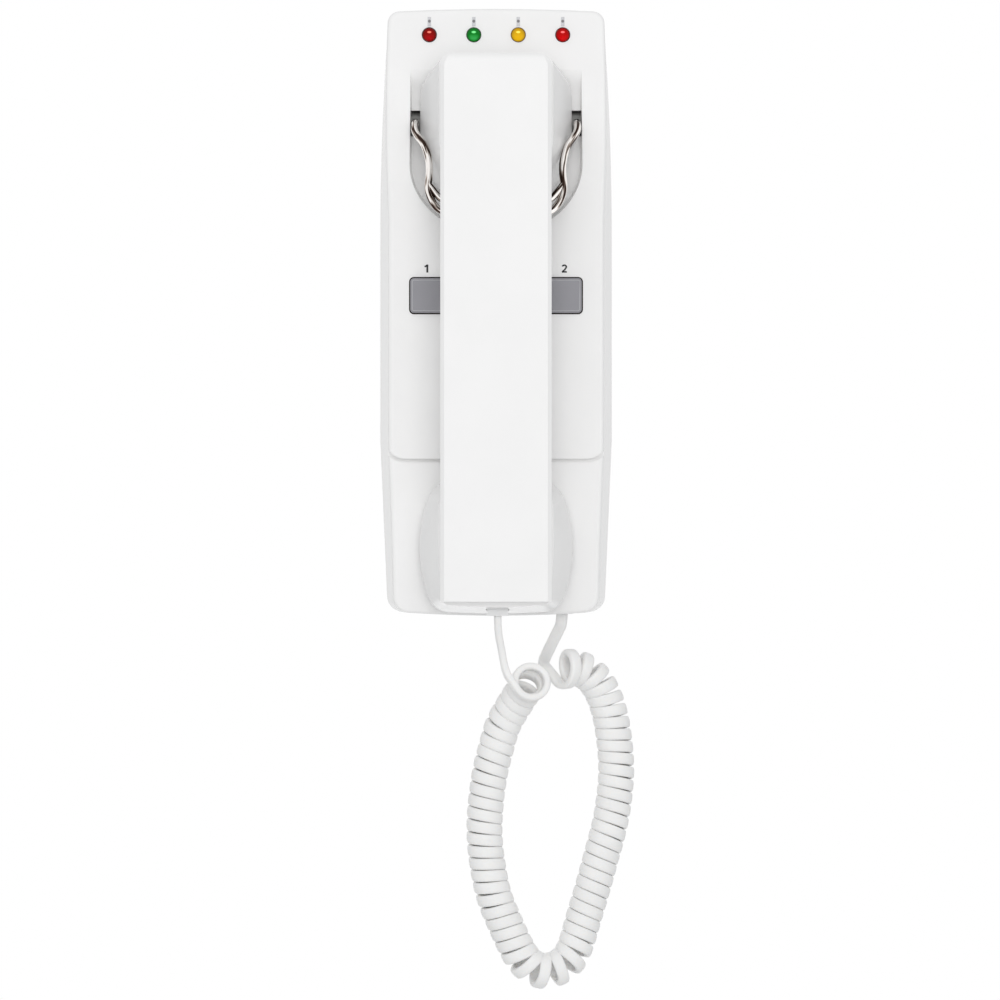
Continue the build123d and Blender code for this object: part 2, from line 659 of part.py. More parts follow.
def recess_form(growth):
    """Returns the space of the ear cup's recess, grown by a wall all round."""
    far = PANEL_DEPTH + COVER_WALL + OVERRUN
    start, first_middle, join, second_middle, end = ramp_places(growth)
    floor, _ = start
    _, top_z = end
    rise = far - floor
    outlines = []
    for depth, gain in ((floor, 0), (far, rise)):
        half_width = RECESS_HALF_WIDTH + growth + gain * RECESS_SIDE_SHARE
        low_z = RECESS_LOW_Z - growth - gain * RECESS_LOW_SHARE
        above = top_z + RECESS_CORNER + OVERRUN
        outlines.append(cup_outline(depth, half_width, above, RECESS_CORNER, RECESS_MID_Z, low_z))
    drafted = loft(outlines, ruled=True)
    low = RECESS_LOW_Z - rise
    edges = [
        Polyline(end, (far, top_z), (far, low), (floor, low), start),
        ThreePointArc(start, first_middle, join),
        ThreePointArc(join, second_middle, end),
    ]
    return drafted & side_prism(edges, BASE_HALF_WIDTH + OVERRUN)


def light_places():
    """Returns how far to the right each indicator light stands."""
    return [(index - (LIGHT_COUNT - 1) / 2) * LIGHT_PITCH for index in range(LIGHT_COUNT)]


def light_post_places():
    """Returns how far to the right each post of the indicator board stands, between two lights."""
    return [-LIGHT_PITCH, LIGHT_PITCH]


def board_screw_places():
    """Returns the width and height of each screw of the main board."""
    across = BOARD_HALF_WIDTH - BOARD_SCREW_INSET
    heights = (BOARD_LOW_Z + BOARD_SCREW_INSET, BOARD_TOP_Z - BOARD_SCREW_INSET)
    return [(side * across, z) for side in (-1, 1) for z in heights]


def front_cover():
    """Returns the cover of the base with its recess, openings, posts and catches."""
    form = base_form(0, COVER_RIM_DEPTH) - recess_form(0)
    form = fillet(front_rim(form), COVER_EDGE_ROUND)
    hollow = base_form(COVER_WALL, -OVERRUN) - recess_form(COVER_WALL)
    cover = form - hollow - panel_groove()
    inner_brow = BROW_DEPTH - COVER_WALL
    for x in light_post_places():
        board_front = LIGHT_BOARD_DEPTH + BOARD_THICKNESS
        hole_radius = BOARD_SCREW_RADIUS + THREAD_GAP
        cover += pin(x, LIGHT_Z, LIGHT_POST_RADIUS, board_front, inner_brow + COVER_WALL / 2)
        cover -= pin(x, LIGHT_Z, hole_radius, LIGHT_BOARD_DEPTH, inner_brow - COVER_WALL)
    ledge = (CATCH_DEPTH - SEAT_GAP - CATCH_THICKNESS, CATCH_DEPTH - SEAT_GAP)
    ledge_top = BASE_HALF_HEIGHT - COVER_WALL / 2 - BASE_TOP_CROWN
    for side in (-1, 1):
        reach = (ledge_top - COVER_WALL - CATCH_THICKNESS, ledge_top)
        cover += block(around(side * CATCH_X, CATCH_HALF_WIDTH), ledge, reach)
    for x in light_places():
        cover -= pin(x, LIGHT_Z, LIGHT_RADIUS + LIGHT_GAP, inner_brow - OVERRUN, BROW_DEPTH + OVERRUN)
    opening = BUTTON_SIDE / 2 + BUTTON_GAP
    for side in (-1, 1):
        hole = block(
            around(side * BUTTON_X, opening),
            (PANEL_DEPTH - COVER_WALL - OVERRUN, PANEL_DEPTH + OVERRUN),
            around(BUTTON_Z, opening),
        )
        cover -= fillet(hole.edges().filter_by(Axis.Y), BUTTON_ROUND + BUTTON_GAP)
        slot_depths = (RECESS_FLOOR - COVER_WALL - OVERRUN, RECESS_FLOOR + OVERRUN)
        slot_across = around(side * (WIRE_X - SEAT_GAP), SLOT_HALF_WIDTH)
        cover -= block(slot_across, slot_depths, (SLOT_LOW_Z, SLOT_TOP_Z))
    low = -BASE_HALF_HEIGHT
    notch_z = (low - OVERRUN, low + BASE_LOW_CROWN + COVER_WALL)
    notch_x = around(BASE_PLUG_X, PLUG_WIDTH / 2 + SEAT_GAP)
    cover -= block(notch_x, around(BASE_PLUG_DEPTH, PLUG_DEPTH / 2 + SEAT_GAP), notch_z)
    screw_z = low + low_edge_lift(COVER_SCREW_X)
    through = screw_z + COVER_WALL + OVERRUN
    cover -= stud(COVER_SCREW_X, COVER_SCREW_DEPTH, COVER_SCREW_RADIUS + PLUG_GAP, low - OVERRUN, through)
    head_radius = COVER_SCREW_HEAD_RADIUS + PLUG_GAP
    cover -= stud(COVER_SCREW_X, COVER_SCREW_DEPTH, head_radius, low - OVERRUN, screw_z + COVER_SCREW_HEAD)
    return cover


def front_rim(form):
    """Returns the edges where the base's sides meet its front."""
    sides = [face for face in form.faces() if face.bounding_box().size.Y > OVERRUN]
    sides = [face for face in sides if -face.bounding_box().max.Y < COVER_RIM_DEPTH + OVERRUN]
    side_edges = [edge for face in sides for edge in face.edges()]
    fronts = [edge for edge in side_edges if -edge.bounding_box().max.Y > COVER_RIM_DEPTH + OVERRUN]
    return [edge for edge in fronts if sum(edge == other for other in side_edges) == 1]


def low_edge_lift(x):
    """Returns how far the curved lower edge lies above its lowest point at a distance from the middle."""
    lean = SIDE_LEAN_SHARE * COVER_SCREW_DEPTH
    return BASE_LOW_CROWN * (x / (BASE_LOW_HALF_WIDTH - COVER_WALL - lean)) ** 2


def base_jack_low():
    """Returns the height of the base jack's lower face, just clear of the cover's curved wall."""
    return SEAT_GAP + COVER_WALL - BASE_HALF_HEIGHT + low_edge_lift(BASE_PLUG_X + JACK_WIDTH / 2)


def back_plate():
    """Returns the plate on the wall, with its posts, catches, hook cheeks and screw lug."""
    plate = extrude(base_outline(PLATE_THICKNESS, COVER_WALL + PLATE_GAP), -PLATE_THICKNESS)
    for z in (-WALL_SCREW_SPACING / 2, WALL_SCREW_SPACING / 2):
        plate -= pin(0, z, WALL_SCREW_RADIUS, -OVERRUN, PLATE_THICKNESS + OVERRUN)
    entry = around(0, CABLE_ENTRY_HALF_WIDTH)
    plate -= block(entry, (-OVERRUN, PLATE_THICKNESS + OVERRUN), (CABLE_ENTRY_LOW_Z, CABLE_ENTRY_TOP_Z))
    inside = PLATE_THICKNESS / 2
    for x, z in board_screw_places():
        plate += pin(x, z, POST_RADIUS, inside, BOARD_DEPTH)
        plate -= pin(x, z, BOARD_SCREW_RADIUS + THREAD_GAP, PLATE_THICKNESS, BOARD_DEPTH + OVERRUN)
    catch_top = BASE_HALF_HEIGHT - BASE_TOP_CROWN - COVER_WALL - SEAT_GAP
    for side in (-1, 1):
        across = around(side * CATCH_X, CATCH_HALF_WIDTH)
        front = CATCH_DEPTH + CATCH_THICKNESS
        plate += block(across, (inside, front), (CATCH_ROOT_Z, CATCH_ROOT_Z + CATCH_THICKNESS))
        plate += block(across, (CATCH_DEPTH, front), (CATCH_ROOT_Z, catch_top))
    lug_edge = abs(COVER_SCREW_X) + LUG_HALF_WIDTH
    lug_low = SEAT_GAP + COVER_WALL - BASE_HALF_HEIGHT + low_edge_lift(lug_edge)
    lug_front = COVER_SCREW_DEPTH + LUG_HALF_WIDTH
    lug_across = around(COVER_SCREW_X, LUG_HALF_WIDTH)
    plate += block(lug_across, (inside, lug_front), (lug_low, lug_low + LUG_HEIGHT))
    screw_top = lug_low + LUG_HEIGHT - COVER_WALL
    lug_hole_radius = COVER_SCREW_RADIUS + THREAD_GAP
    plate -= stud(COVER_SCREW_X, COVER_SCREW_DEPTH, lug_hole_radius, lug_low - OVERRUN, screw_top)
    cheek_x = ROCKER_HALF_LENGTH + BUSH_FLANGE + RUNNING_GAP
    front = PIVOT_DEPTH + BUSH_RADIUS + CHEEK_THICKNESS / 2
    for side in (-1, 1):
        across = sorted((side * cheek_x, side * (cheek_x + CHEEK_THICKNESS)))
        plate += block(across, (inside, front), around(PIVOT_Z, CHEEK_HALF_WIDTH))
        plate -= rod(PIVOT_DEPTH, PIVOT_Z, BUSH_RADIUS, across[0] - OVERRUN, across[1] + OVERRUN)
    for x in hook_switch_screw_places():
        hole_radius = HOOK_SWITCH_SCREW_RADIUS + THREAD_GAP
        plate -= pin(x, HOOK_SWITCH_HOLE_Z, hole_radius, -OVERRUN, PLATE_THICKNESS + OVERRUN)
    return plate


def cover_screw():
    """Returns the screw that holds the cover to the plate's lug from below."""
    head_low = low_edge_lift(COVER_SCREW_X) - BASE_HALF_HEIGHT
    neck = head_low + COVER_SCREW_HEAD
    head = stud(COVER_SCREW_X, COVER_SCREW_DEPTH, COVER_SCREW_HEAD_RADIUS, head_low, neck)
    slot = around(COVER_SCREW_X, COVER_SCREW_HEAD_RADIUS)
    half_slot = COVER_SCREW_HEAD / 4
    head -= block(slot, around(COVER_SCREW_DEPTH, half_slot), (head_low, head_low + COVER_SCREW_HEAD / 2))
    return head + stud(COVER_SCREW_X, COVER_SCREW_DEPTH, COVER_SCREW_RADIUS, neck, neck + COVER_SCREW_LENGTH)


def main_board():
    """Returns the main circuit board with its screw holes."""
    front = BOARD_DEPTH + BOARD_THICKNESS
    board = block(around(0, BOARD_HALF_WIDTH), (BOARD_DEPTH, front), (BOARD_LOW_Z, BOARD_TOP_Z))
    for x, z in board_screw_places():
        board -= pin(x, z, BOARD_SCREW_RADIUS + PLUG_GAP, BOARD_DEPTH - OVERRUN, front + OVERRUN)
    return board


def headed_screw(x, z, seat, radius, length, head_radius, head):
    """Returns a screw driven towards the wall, whose head rests on a seat at a depth."""
    shank = pin(x, z, radius, seat - length, seat)
    top = pin(x, z, head_radius, seat, seat + head)
    slot = block(around(x, head_radius), (seat + head / 2, seat + head), around(z, head / 4))
    return shank + (top - slot)


def board_screws():
    """Returns the screws of the main board."""
    seat = BOARD_DEPTH + BOARD_THICKNESS
    size = (BOARD_SCREW_RADIUS, BOARD_SCREW_LENGTH, BOARD_SCREW_HEAD_RADIUS, BOARD_SCREW_HEAD)
    return [headed_screw(x, z, seat, *size) for x, z in board_screw_places()]


def call_buzzer():
    """Returns the buzzer with the port that its sound leaves by."""
    back = BOARD_DEPTH + BOARD_THICKNESS
    front = back + BUZZER_HEIGHT
    body = pin(0, BUZZER_Z, BUZZER_RADIUS, back, front)
    return body - pin(0, BUZZER_Z, BUZZER_PORT_RADIUS, front - BUZZER_PORT, front + OVERRUN)


def terminal_places():
    """Returns how far to the right each terminal lies."""
    return [(index - (TERMINAL_COUNT - 1) / 2) * TERMINAL_PITCH for index in range(TERMINAL_COUNT)]


def terminal_block():
    """Returns the block that the riser wires are clamped in."""
    back = BOARD_DEPTH + BOARD_THICKNESS
    front = back + TERMINAL_HEIGHT
    top_z = TERMINAL_LOW_Z + TERMINAL_WIDTH
    body = block(around(0, TERMINAL_HALF_LENGTH), (back, front), (TERMINAL_LOW_Z, top_z))
    middle_z = (TERMINAL_LOW_Z + top_z) / 2
    wire_depth = back + TERMINAL_WIRE_HALF * 2
    for x in terminal_places():
        hole_radius = TERMINAL_SCREW_RADIUS + RUNNING_GAP
        body -= pin(x, middle_z, hole_radius, front - TERMINAL_SCREW_SINK, front + OVERRUN)
        wire_z = (TERMINAL_LOW_Z - OVERRUN, middle_z)
        body -= block(around(x, TERMINAL_WIRE_HALF), around(wire_depth, TERMINAL_WIRE_HALF), wire_z)
    return body


def terminal_screws():
    """Returns the clamping screws of the terminal block."""
    front = BOARD_DEPTH + BOARD_THICKNESS + TERMINAL_HEIGHT
    middle_z = TERMINAL_LOW_Z + TERMINAL_WIDTH / 2
    screws = []
    for x in terminal_places():
        body = pin(x, middle_z, TERMINAL_SCREW_RADIUS, front - TERMINAL_SCREW_SINK, front)
        slot_half = TERMINAL_SCREW_RADIUS / 4
        slot_depths = (front - slot_half * 2, front + OVERRUN)
        slot = block(around(x, TERMINAL_SCREW_RADIUS), slot_depths, around(middle_z, slot_half))
        screws.append(body - slot)
    return screws


def plunger_depths():
    """Returns the depths between which a switch plunger reaches."""
    back = BOARD_DEPTH + BOARD_THICKNESS + SWITCH_HEIGHT - PLUNGER_SINK
    return back, back + PLUNGER_LENGTH


def push_switch(side):
    """Returns the body of the switch behind a button."""
    back = BOARD_DEPTH + BOARD_THICKNESS
    front = back + SWITCH_HEIGHT
    half = SWITCH_SIDE / 2
    body = block(around(side * BUTTON_X, half), (back, front), around(BUTTON_Z, half))
    bore_back = plunger_depths()[0] - BUTTON_TRAVEL - SEAT_GAP
    return body - pin(side * BUTTON_X, BUTTON_Z, PLUNGER_RADIUS + RUNNING_GAP, bore_back, front + OVERRUN)


def push_plunger(side):
    """Returns the plunger that a button presses into its switch."""
    back, front = plunger_depths()
    return pin(side * BUTTON_X, BUTTON_Z, PLUNGER_RADIUS, back, front)


def push_button(side):
    """Returns a hollow square button with the flange that keeps it in and the stem to its switch."""
    front = PANEL_DEPTH + BUTTON_RISE
    back = front - BUTTON_RISE - BUTTON_SKIRT
    half = BUTTON_SIDE / 2
    x = side * BUTTON_X
    body = block(around(x, half), (back, front), around(BUTTON_Z, half))
    body = fillet(body.edges().filter_by(Axis.Y), BUTTON_ROUND)
    body = chamfer(body.faces().sort_by(Axis.Y)[0].edges(), BUTTON_CHAMFER)
    flange_front = PANEL_DEPTH - COVER_WALL - RUNNING_GAP
    flange_half = half + FLANGE_REACH
    flange_depths = (flange_front - FLANGE_THICKNESS, flange_front)
    body += block(around(x, flange_half), flange_depths, around(BUTTON_Z, flange_half))
    inner = half - BUTTON_WALL
    body -= block(around(x, inner), (back - OVERRUN, front - BUTTON_WALL), around(BUTTON_Z, inner))
    return body + pin(x, BUTTON_Z, STEM_RADIUS, plunger_depths()[1], front - BUTTON_WALL / 2)


def indicator_light(x):
    """Returns a round indicator light with its flange and its two legs."""
    top = BROW_DEPTH + LIGHT_RISE
    foot = top - LIGHT_HEIGHT
    body = pin(x, LIGHT_Z, LIGHT_RADIUS, foot, top - LIGHT_RADIUS)
    body += Pos(*spot(x, top - LIGHT_RADIUS, LIGHT_Z)) * Sphere(LIGHT_RADIUS)
    body += pin(x, LIGHT_Z, LIGHT_FLANGE_RADIUS, foot, foot + LIGHT_FLANGE)
    for side in (-1, 1):
        leg_x = x + side * LEG_HALF_SPACING
        body += pin(leg_x, LIGHT_Z, LEG_RADIUS, LIGHT_BOARD_DEPTH - LEG_TAIL, foot + LIGHT_FLANGE / 2)
    return body


def indicator_board():
    """Returns the small board behind the brow that the lights are soldered to."""
    front = LIGHT_BOARD_DEPTH + BOARD_THICKNESS
    depths = (LIGHT_BOARD_DEPTH, front)
    board = block(around(0, LIGHT_BOARD_HALF_WIDTH), depths, around(LIGHT_Z, LIGHT_BOARD_HALF_HEIGHT))
    holes = [(x, BOARD_SCREW_RADIUS + PLUG_GAP) for x in light_post_places()]
    for x in light_places():
        holes += [(x + side * LEG_HALF_SPACING, LEG_RADIUS + THREAD_GAP) for side in (-1, 1)]
    for x, radius in holes:
        board -= pin(x, LIGHT_Z, radius, LIGHT_BOARD_DEPTH - OVERRUN, front + OVERRUN)
    return board


def indicator_screws():
    """Returns the screws that hold the indicator board to the cover's posts from behind."""
    screws = []
    for x in light_post_places():
        back = LIGHT_BOARD_DEPTH
        head = pin(x, LIGHT_Z, BOARD_SCREW_HEAD_RADIUS, back - BOARD_SCREW_HEAD, back)
        screws.append(head + pin(x, LIGHT_Z, BOARD_SCREW_RADIUS, back, back + BOARD_SCREW_LENGTH))
    return screws


def ribbon_cable():
    """Returns the flat cable from the main board's top edge up to the indicator board."""
    start = BOARD_DEPTH + BOARD_THICKNESS / 2
    bend = RIBBON_BEND
    route = [
        spot(RIBBON_X, start, BOARD_TOP_Z),
        spot(RIBBON_X, start, BOARD_TOP_Z + bend * 2),
        spot(RIBBON_X, RIBBON_DEPTH, BOARD_TOP_Z + bend * 4),
        spot(RIBBON_X, RIBBON_DEPTH, LIGHT_Z),
        spot(RIBBON_X, LIGHT_BOARD_DEPTH, LIGHT_Z),
    ]
    line = FilletPolyline(*route, radius=bend)
    plane = Plane(origin=line @ 0, x_dir=(1, 0, 0), z_dir=line % 0)
    section = plane * Rectangle(RIBBON_WIDTH, RIBBON_THICKNESS)
    return sweep(section, path=line)


def cup_underside(depth):
    """Returns how high the lowest line of the ear cup's flare lies at a depth, and how steeply it climbs."""
    climb_share = (EAR_FRONT_LOW_Z - EAR_LOW_Z) / (SPLIT_DEPTH - EAR_WIDE_DEPTH)
    return EAR_LOW_Z + climb_share * (depth - EAR_WIDE_DEPTH), climb_share


def hook_route():
    """Returns the route of the hook's wire on the right, from the rocker to the middle of the cross bar."""
    forward = WIRE_BAR_DEPTH - PIVOT_DEPTH
    drop = PIVOT_Z - WIRE_BAR_Z
    route = [(WIRE_X, PIVOT_DEPTH - WIRE_RADIUS, PIVOT_Z)]
    for x_share, forward_share, drop_share in WIRE_BEND_SHARES:
        depth = PIVOT_DEPTH + forward * forward_share
        route.append((WIRE_X * x_share, depth, PIVOT_Z - drop * drop_share))
    return route


def hook_wire():
    """Returns the bent wire that cradles the ear cup, with the strand that is welded across it."""
    right = [spot(*place) for place in hook_route()]
    left = [Vector(-place.X, place.Y, place.Z) for place in reversed(right)]
    wire, _ = tube(right + left, WIRE_RADIUS)
    underside, climb_share = cup_underside(WIRE_BAR_DEPTH)
    strand_z = underside - (WIRE_RADIUS + SEAT_GAP) * (1 + climb_share**2) ** 0.5
    *_, root, _, _ = right
    strand = [
        root,
        spot(BAR_HALF_WIDTH, WIRE_BAR_DEPTH, strand_z),
        spot(-BAR_HALF_WIDTH, WIRE_BAR_DEPTH, strand_z),
        Vector(-root.X, root.Y, root.Z),
    ]
    line = FilletPolyline(*strand, radius=WIRE_RADIUS * 2)
    section = Plane(origin=line @ 0, z_dir=line % 0) * Circle(WIRE_RADIUS)
    return wire + sweep(section, path=line)


def hook_rocker():
    """Returns the shaft that turns in the plate's cheeks, carries the wire and works the switch."""
    rocker = rod(PIVOT_DEPTH, PIVOT_Z, ROCKER_RADIUS, -ROCKER_HALF_LENGTH, ROCKER_HALF_LENGTH)
    stub_end = ROCKER_HALF_LENGTH + BUSH_FLANGE + CHEEK_THICKNESS + STUB_TAIL
    rocker += rod(PIVOT_DEPTH, PIVOT_Z, STUB_RADIUS, -stub_end, stub_end)
    for side in (-1, 1):
        ends = sorted((side * ROCKER_HALF_LENGTH, side * (ROCKER_HALF_LENGTH - ROCKER_BOSS_LENGTH)))
        rocker += rod(PIVOT_DEPTH, PIVOT_Z, ROCKER_BOSS_RADIUS, *ends)
        hole_front = PIVOT_DEPTH + ROCKER_BOSS_RADIUS + OVERRUN
        rocker -= pin(side * WIRE_X, PIVOT_Z, WIRE_RADIUS, PIVOT_DEPTH - WIRE_RADIUS, hole_front)
    for x in (SWITCH_TAB_X, SPRING_TAB_X):
        depths = (tab_back(), tab_back() + TAB_THICKNESS)
        rocker += block(around(x, TAB_HALF_WIDTH), depths, (TAB_LOW_Z, PIVOT_Z))
    return rocker


def tab_back():
    """Returns the depth of the rear faces of the rocker's tabs."""
    return PIVOT_DEPTH - RUNNING_GAP * 2


def hook_bush(side):
    """Returns the flanged bush that a stub of the rocker turns in."""
    inner = ROCKER_HALF_LENGTH + RUNNING_GAP
    outer = inner + BUSH_FLANGE + CHEEK_THICKNESS
    flange = sorted((side * inner, side * (inner + BUSH_FLANGE)))
    sleeve = sorted((side * inner, side * outer))
    bush = rod(PIVOT_DEPTH, PIVOT_Z, BUSH_RADIUS, *sleeve)
    bush += rod(PIVOT_DEPTH, PIVOT_Z, BUSH_FLANGE_RADIUS, *flange)
    left, right = sleeve
    return bush - rod(PIVOT_DEPTH, PIVOT_Z, STUB_RADIUS + RUNNING_GAP, left - OVERRUN, right + OVERRUN)


def hook_switch_screw_places():
    """Returns how far to the right the two screws of the hook's switch stand."""
    return [SWITCH_TAB_X + side * HOOK_SWITCH_HOLE_SPACING / 2 for side in (-1, 1)]


def hook_switch():
    """Returns the small switch that the rocker's tab keeps pressed while the handset hangs."""
    front = PLATE_THICKNESS + HOOK_SWITCH_HEIGHT
    across = around(SWITCH_TAB_X, HOOK_SWITCH_HALF_LENGTH)
    heights = (HOOK_SWITCH_LOW_Z, HOOK_SWITCH_LOW_Z + HOOK_SWITCH_WIDTH)
    body = block(across, (PLATE_THICKNESS, front), heights)
    button_z = HOOK_SWITCH_LOW_Z + HOOK_SWITCH_WIDTH * 2 / 3
    button_top = tab_back() - RUNNING_GAP
    body += pin(SWITCH_TAB_X, button_z, HOOK_SWITCH_BUTTON_RADIUS, front - OVERRUN, button_top)
    for x in hook_switch_screw_places():
        body -= pin(x, HOOK_SWITCH_HOLE_Z, HOOK_SWITCH_SCREW_RADIUS + PLUG_GAP, 0, front + OVERRUN)
    return body


def hook_switch_screws():
    """Returns the two screws that hold the hook's switch to the plate."""
    seat = PLATE_THICKNESS + HOOK_SWITCH_HEIGHT
    length = HOOK_SWITCH_HEIGHT + PLATE_THICKNESS - SEAT_GAP
    size = (HOOK_SWITCH_SCREW_RADIUS, length, HOOK_SWITCH_HEAD_RADIUS, HOOK_SWITCH_HEAD)
    return [headed_screw(x, HOOK_SWITCH_HOLE_Z, seat, *size) for x in hook_switch_screw_places()]


def hook_spring():
    """Returns the spring between the plate and the rocker's second tab that lifts the empty hook."""
    height = tab_back() - PLATE_THICKNESS - SPRING_WIRE - RUNNING_GAP * 2
    marks = np.linspace(0, SPRING_TURNS, SPRING_TURNS * 4 + 1)
    angles = 2 * pi * marks
    back = PLATE_THICKNESS + SPRING_WIRE / 2 + RUNNING_GAP
    across = SPRING_TAB_X + SPRING_RADIUS * np.cos(angles)
    out = -(back + height * marks / SPRING_TURNS)
    up = SPRING_Z + SPRING_RADIUS * np.sin(angles)
    pace = 2 * pi * SPRING_RADIUS
    drops = np.full_like(marks, -height / SPRING_TURNS)
    slopes = (-pace * np.sin(angles), drops, pace * np.cos(angles))
    return swept_arcs(np.stack([across, out, up], 1), np.stack(slopes, 1), SPRING_WIRE / 2, 0)


def bar_form(inset, back, front):
    """Returns the long bar of the handset between two depths, drawn in by an inset."""
    half = BAR_HALF_WIDTH - inset
    low, top = BAR_LOW_Z + inset, BAR_TOP_Z - inset
    corners = [(-half, low), (half, low), (half, top), (-half, top)]
    face = front_face(Polyline(*corners, close=True), back)
    face = rounded_at(face, [spot(side * half, back, top) for side in (-1, 1)], BAR_CORNER - inset / 2)
    return extrude(face, front - back)


def ear_form(inset, back):
    """Returns the flared ear cup from a depth to the split of the handset, drawn in by an inset."""
    wide = cup_outline(
        EAR_WIDE_DEPTH,
        EAR_HALF_WIDTH - inset,
        EAR_WIDE_TOP_Z - inset,
        EAR_CORNER - inset,
        EAR_MID_Z,
        EAR_LOW_Z + inset,
    )
    near = cup_outline(
        SPLIT_DEPTH,
        BAR_HALF_WIDTH + CUP_STEP - inset,
        EAR_FRONT_TOP_Z - inset,
        EAR_FRONT_CORNER - inset,
        EAR_FRONT_MID_Z,
        EAR_FRONT_LOW_Z + inset,
    )
    flare = loft([wide, near], ruled=True) + extrude(wide, back - EAR_WIDE_DEPTH)
    top_z = EAR_TOP_Z - inset
    mid = (EAR_CURVE_MID_DEPTH + inset * cos(pi / 4), EAR_CURVE_MID_Z - inset * cos(pi / 4))
    far = SPLIT_DEPTH + OVERRUN
    edges = [
        ThreePointArc((EAR_REAR_DEPTH + inset, EAR_CURVE_LOW_Z), mid, (EAR_CURVE_TOP_DEPTH, top_z)),
        Polyline(
            (EAR_CURVE_TOP_DEPTH, top_z),
            (far, top_z),
            (far, EAR_LOW_Z),
            (EAR_REAR_DEPTH + inset, EAR_LOW_Z),
            (EAR_REAR_DEPTH + inset, EAR_CURVE_LOW_Z),
        ),
    ]
    return flare & side_prism(edges, EAR_HALF_WIDTH + OVERRUN)


def mouth_outline(depth, low, wide, top, neck, rounds, inset):
    """Returns the mouth cup's outline: a low edge, bulging sides, and round shoulders up to the neck."""
    low_x, low_z = low[0] - inset, low[1] + inset
    wide_x, wide_z = wide[0] - inset, wide[1]
    top_x, top_z = top[0] - inset, top[1] - inset / 2
    neck_x, neck_z = neck[0] - inset / 2, neck[1] - inset
    edges = [
        ThreePointArc((-low_x, low_z), (0, low_z - MOUTH_LOW_CROWN), (low_x, low_z)),
        ThreePointArc((low_x, low_z), (wide_x, wide_z), (top_x, top_z)),
        Polyline((top_x, top_z), (neck_x, neck_z), (-neck_x, neck_z), (-top_x, top_z)),
        ThreePointArc((-top_x, top_z), (-wide_x, wide_z), (-low_x, low_z)),
    ]
    face = front_face(edges, depth)
    for (x, z), radius in zip(((low_x, low_z), (top_x, top_z)), rounds):
        face = rounded_at(face, [spot(side * x, depth, z) for side in (-1, 1)], radius - inset / 2)
    return face


def mouth_rear_depth():
    """Returns the depth of the mouth cup's rear face, which rests on the tray."""
    return TRAY_DEPTH + SEAT_GAP


def mouth_form(inset, back):
    """Returns the flared mouth cup from a depth to the split of the handset, drawn in by an inset."""
    wide = mouth_outline(
        MOUTH_CAP_DEPTH,
        (MOUTH_LOW_HALF_WIDTH, MOUTH_LOW_Z),
        (MOUTH_HALF_WIDTH, MOUTH_MID_Z),
        (MOUTH_TOP_HALF_WIDTH, MOUTH_TOP_Z),
        (MOUTH_NECK_HALF_WIDTH, MOUTH_NECK_Z),
        (MOUTH_CORNER, MOUTH_SHOULDER),
        inset,
    )
    near = mouth_outline(
        SPLIT_DEPTH,
        (MOUTH_FRONT_LOW_HALF_WIDTH, MOUTH_FRONT_LOW_Z),
        (MOUTH_FRONT_HALF_WIDTH, MOUTH_MID_Z),
        (MOUTH_FRONT_TOP_HALF_WIDTH, MOUTH_FRONT_TOP_Z),
        (MOUTH_FRONT_NECK_HALF_WIDTH, MOUTH_FRONT_NECK_Z),
        (MOUTH_FRONT_CORNER, MOUTH_FRONT_SHOULDER),
        inset,
    )
    return loft([wide, near], ruled=True) + extrude(wide, back - MOUTH_CAP_DEPTH)


def rear_rim(form):
    """Returns the edges round all the faces that look back at the wall."""
    rear_faces = [face for face in form.faces() if face.normal_at().Y > REAR_FACING_SHARE]
    rear_edges = [edge for face in rear_faces for edge in face.edges()]
    return [edge for edge in rear_edges if sum(edge == other for other in rear_edges) == 1]


def ear_outside():
    """Returns the ear cup's whole outer form with its rear edge rounded."""
    form = ear_form(0, EAR_REAR_DEPTH)
    corner_z = EAR_WIDE_TOP_Z - EAR_CORNER - EAR_EDGE_ROUND
    below_corner = [edge for edge in rear_rim(form) if (edge @ 0.5).Z < corner_z]
    return fillet(below_corner, EAR_EDGE_ROUND)


def mouth_outside():
    """Returns the mouth cup's whole outer form with its rear edge rounded."""
    form = mouth_form(0, mouth_rear_depth())
    return fillet(form.faces().sort_by(Axis.Y)[-1].edges(), MOUTH_EDGE_ROUND)


def handset_hollow():
    """Returns the space inside the handset."""
    bar = bar_form(SHELL_WALL, BAR_BACK_DEPTH + SHELL_WALL, BAR_FRONT_DEPTH - SHELL_WALL)
    ear = ear_form(SHELL_WALL, EAR_REAR_DEPTH + SHELL_WALL)
    return bar + ear + mouth_form(SHELL_WALL, mouth_rear_depth() + SHELL_WALL)


def in_depths(solid, back, front):
    """Returns the part of a solid that lies between two depths."""
    wide = BASE_HALF_WIDTH * 2
    tall = BASE_HALF_HEIGHT * 2
    return solid & block(around(0, wide), (back, front), around(0, tall))


def plate_roll():
    """Returns the space that the long front plate fills, whose top end rolls back to its upper edge."""
    front = BAR_FRONT_DEPTH + ROLL_LIP
    back = SPLIT_DEPTH - OVERRUN
    low_z = BAR_LOW_Z - OVERRUN
    roll_z = BAR_TOP_Z - ROLL_HEIGHT
    last = radians(ROLL_END_ANGLE)
    _, middle, end = [
        (front - ROLL_RADIUS * (1 - cos(angle)), roll_z + ROLL_RADIUS * sin(angle))
        for angle in (0, last / 2, last)
    ]
    _, end_z = end
    edges = [
        ThreePointArc((front, roll_z), middle, end),
        Polyline(end, (back, end_z), (back, low_z), (front, low_z), (front, roll_z)),
    ]
    return side_prism(edges, BAR_HALF_WIDTH + OVERRUN)


def handset_screw_places():
    """Returns the heights of the two screws that hold the handset together."""
    return [HANDSET_SCREW_LOW_Z, HANDSET_SCREW_TOP_Z]


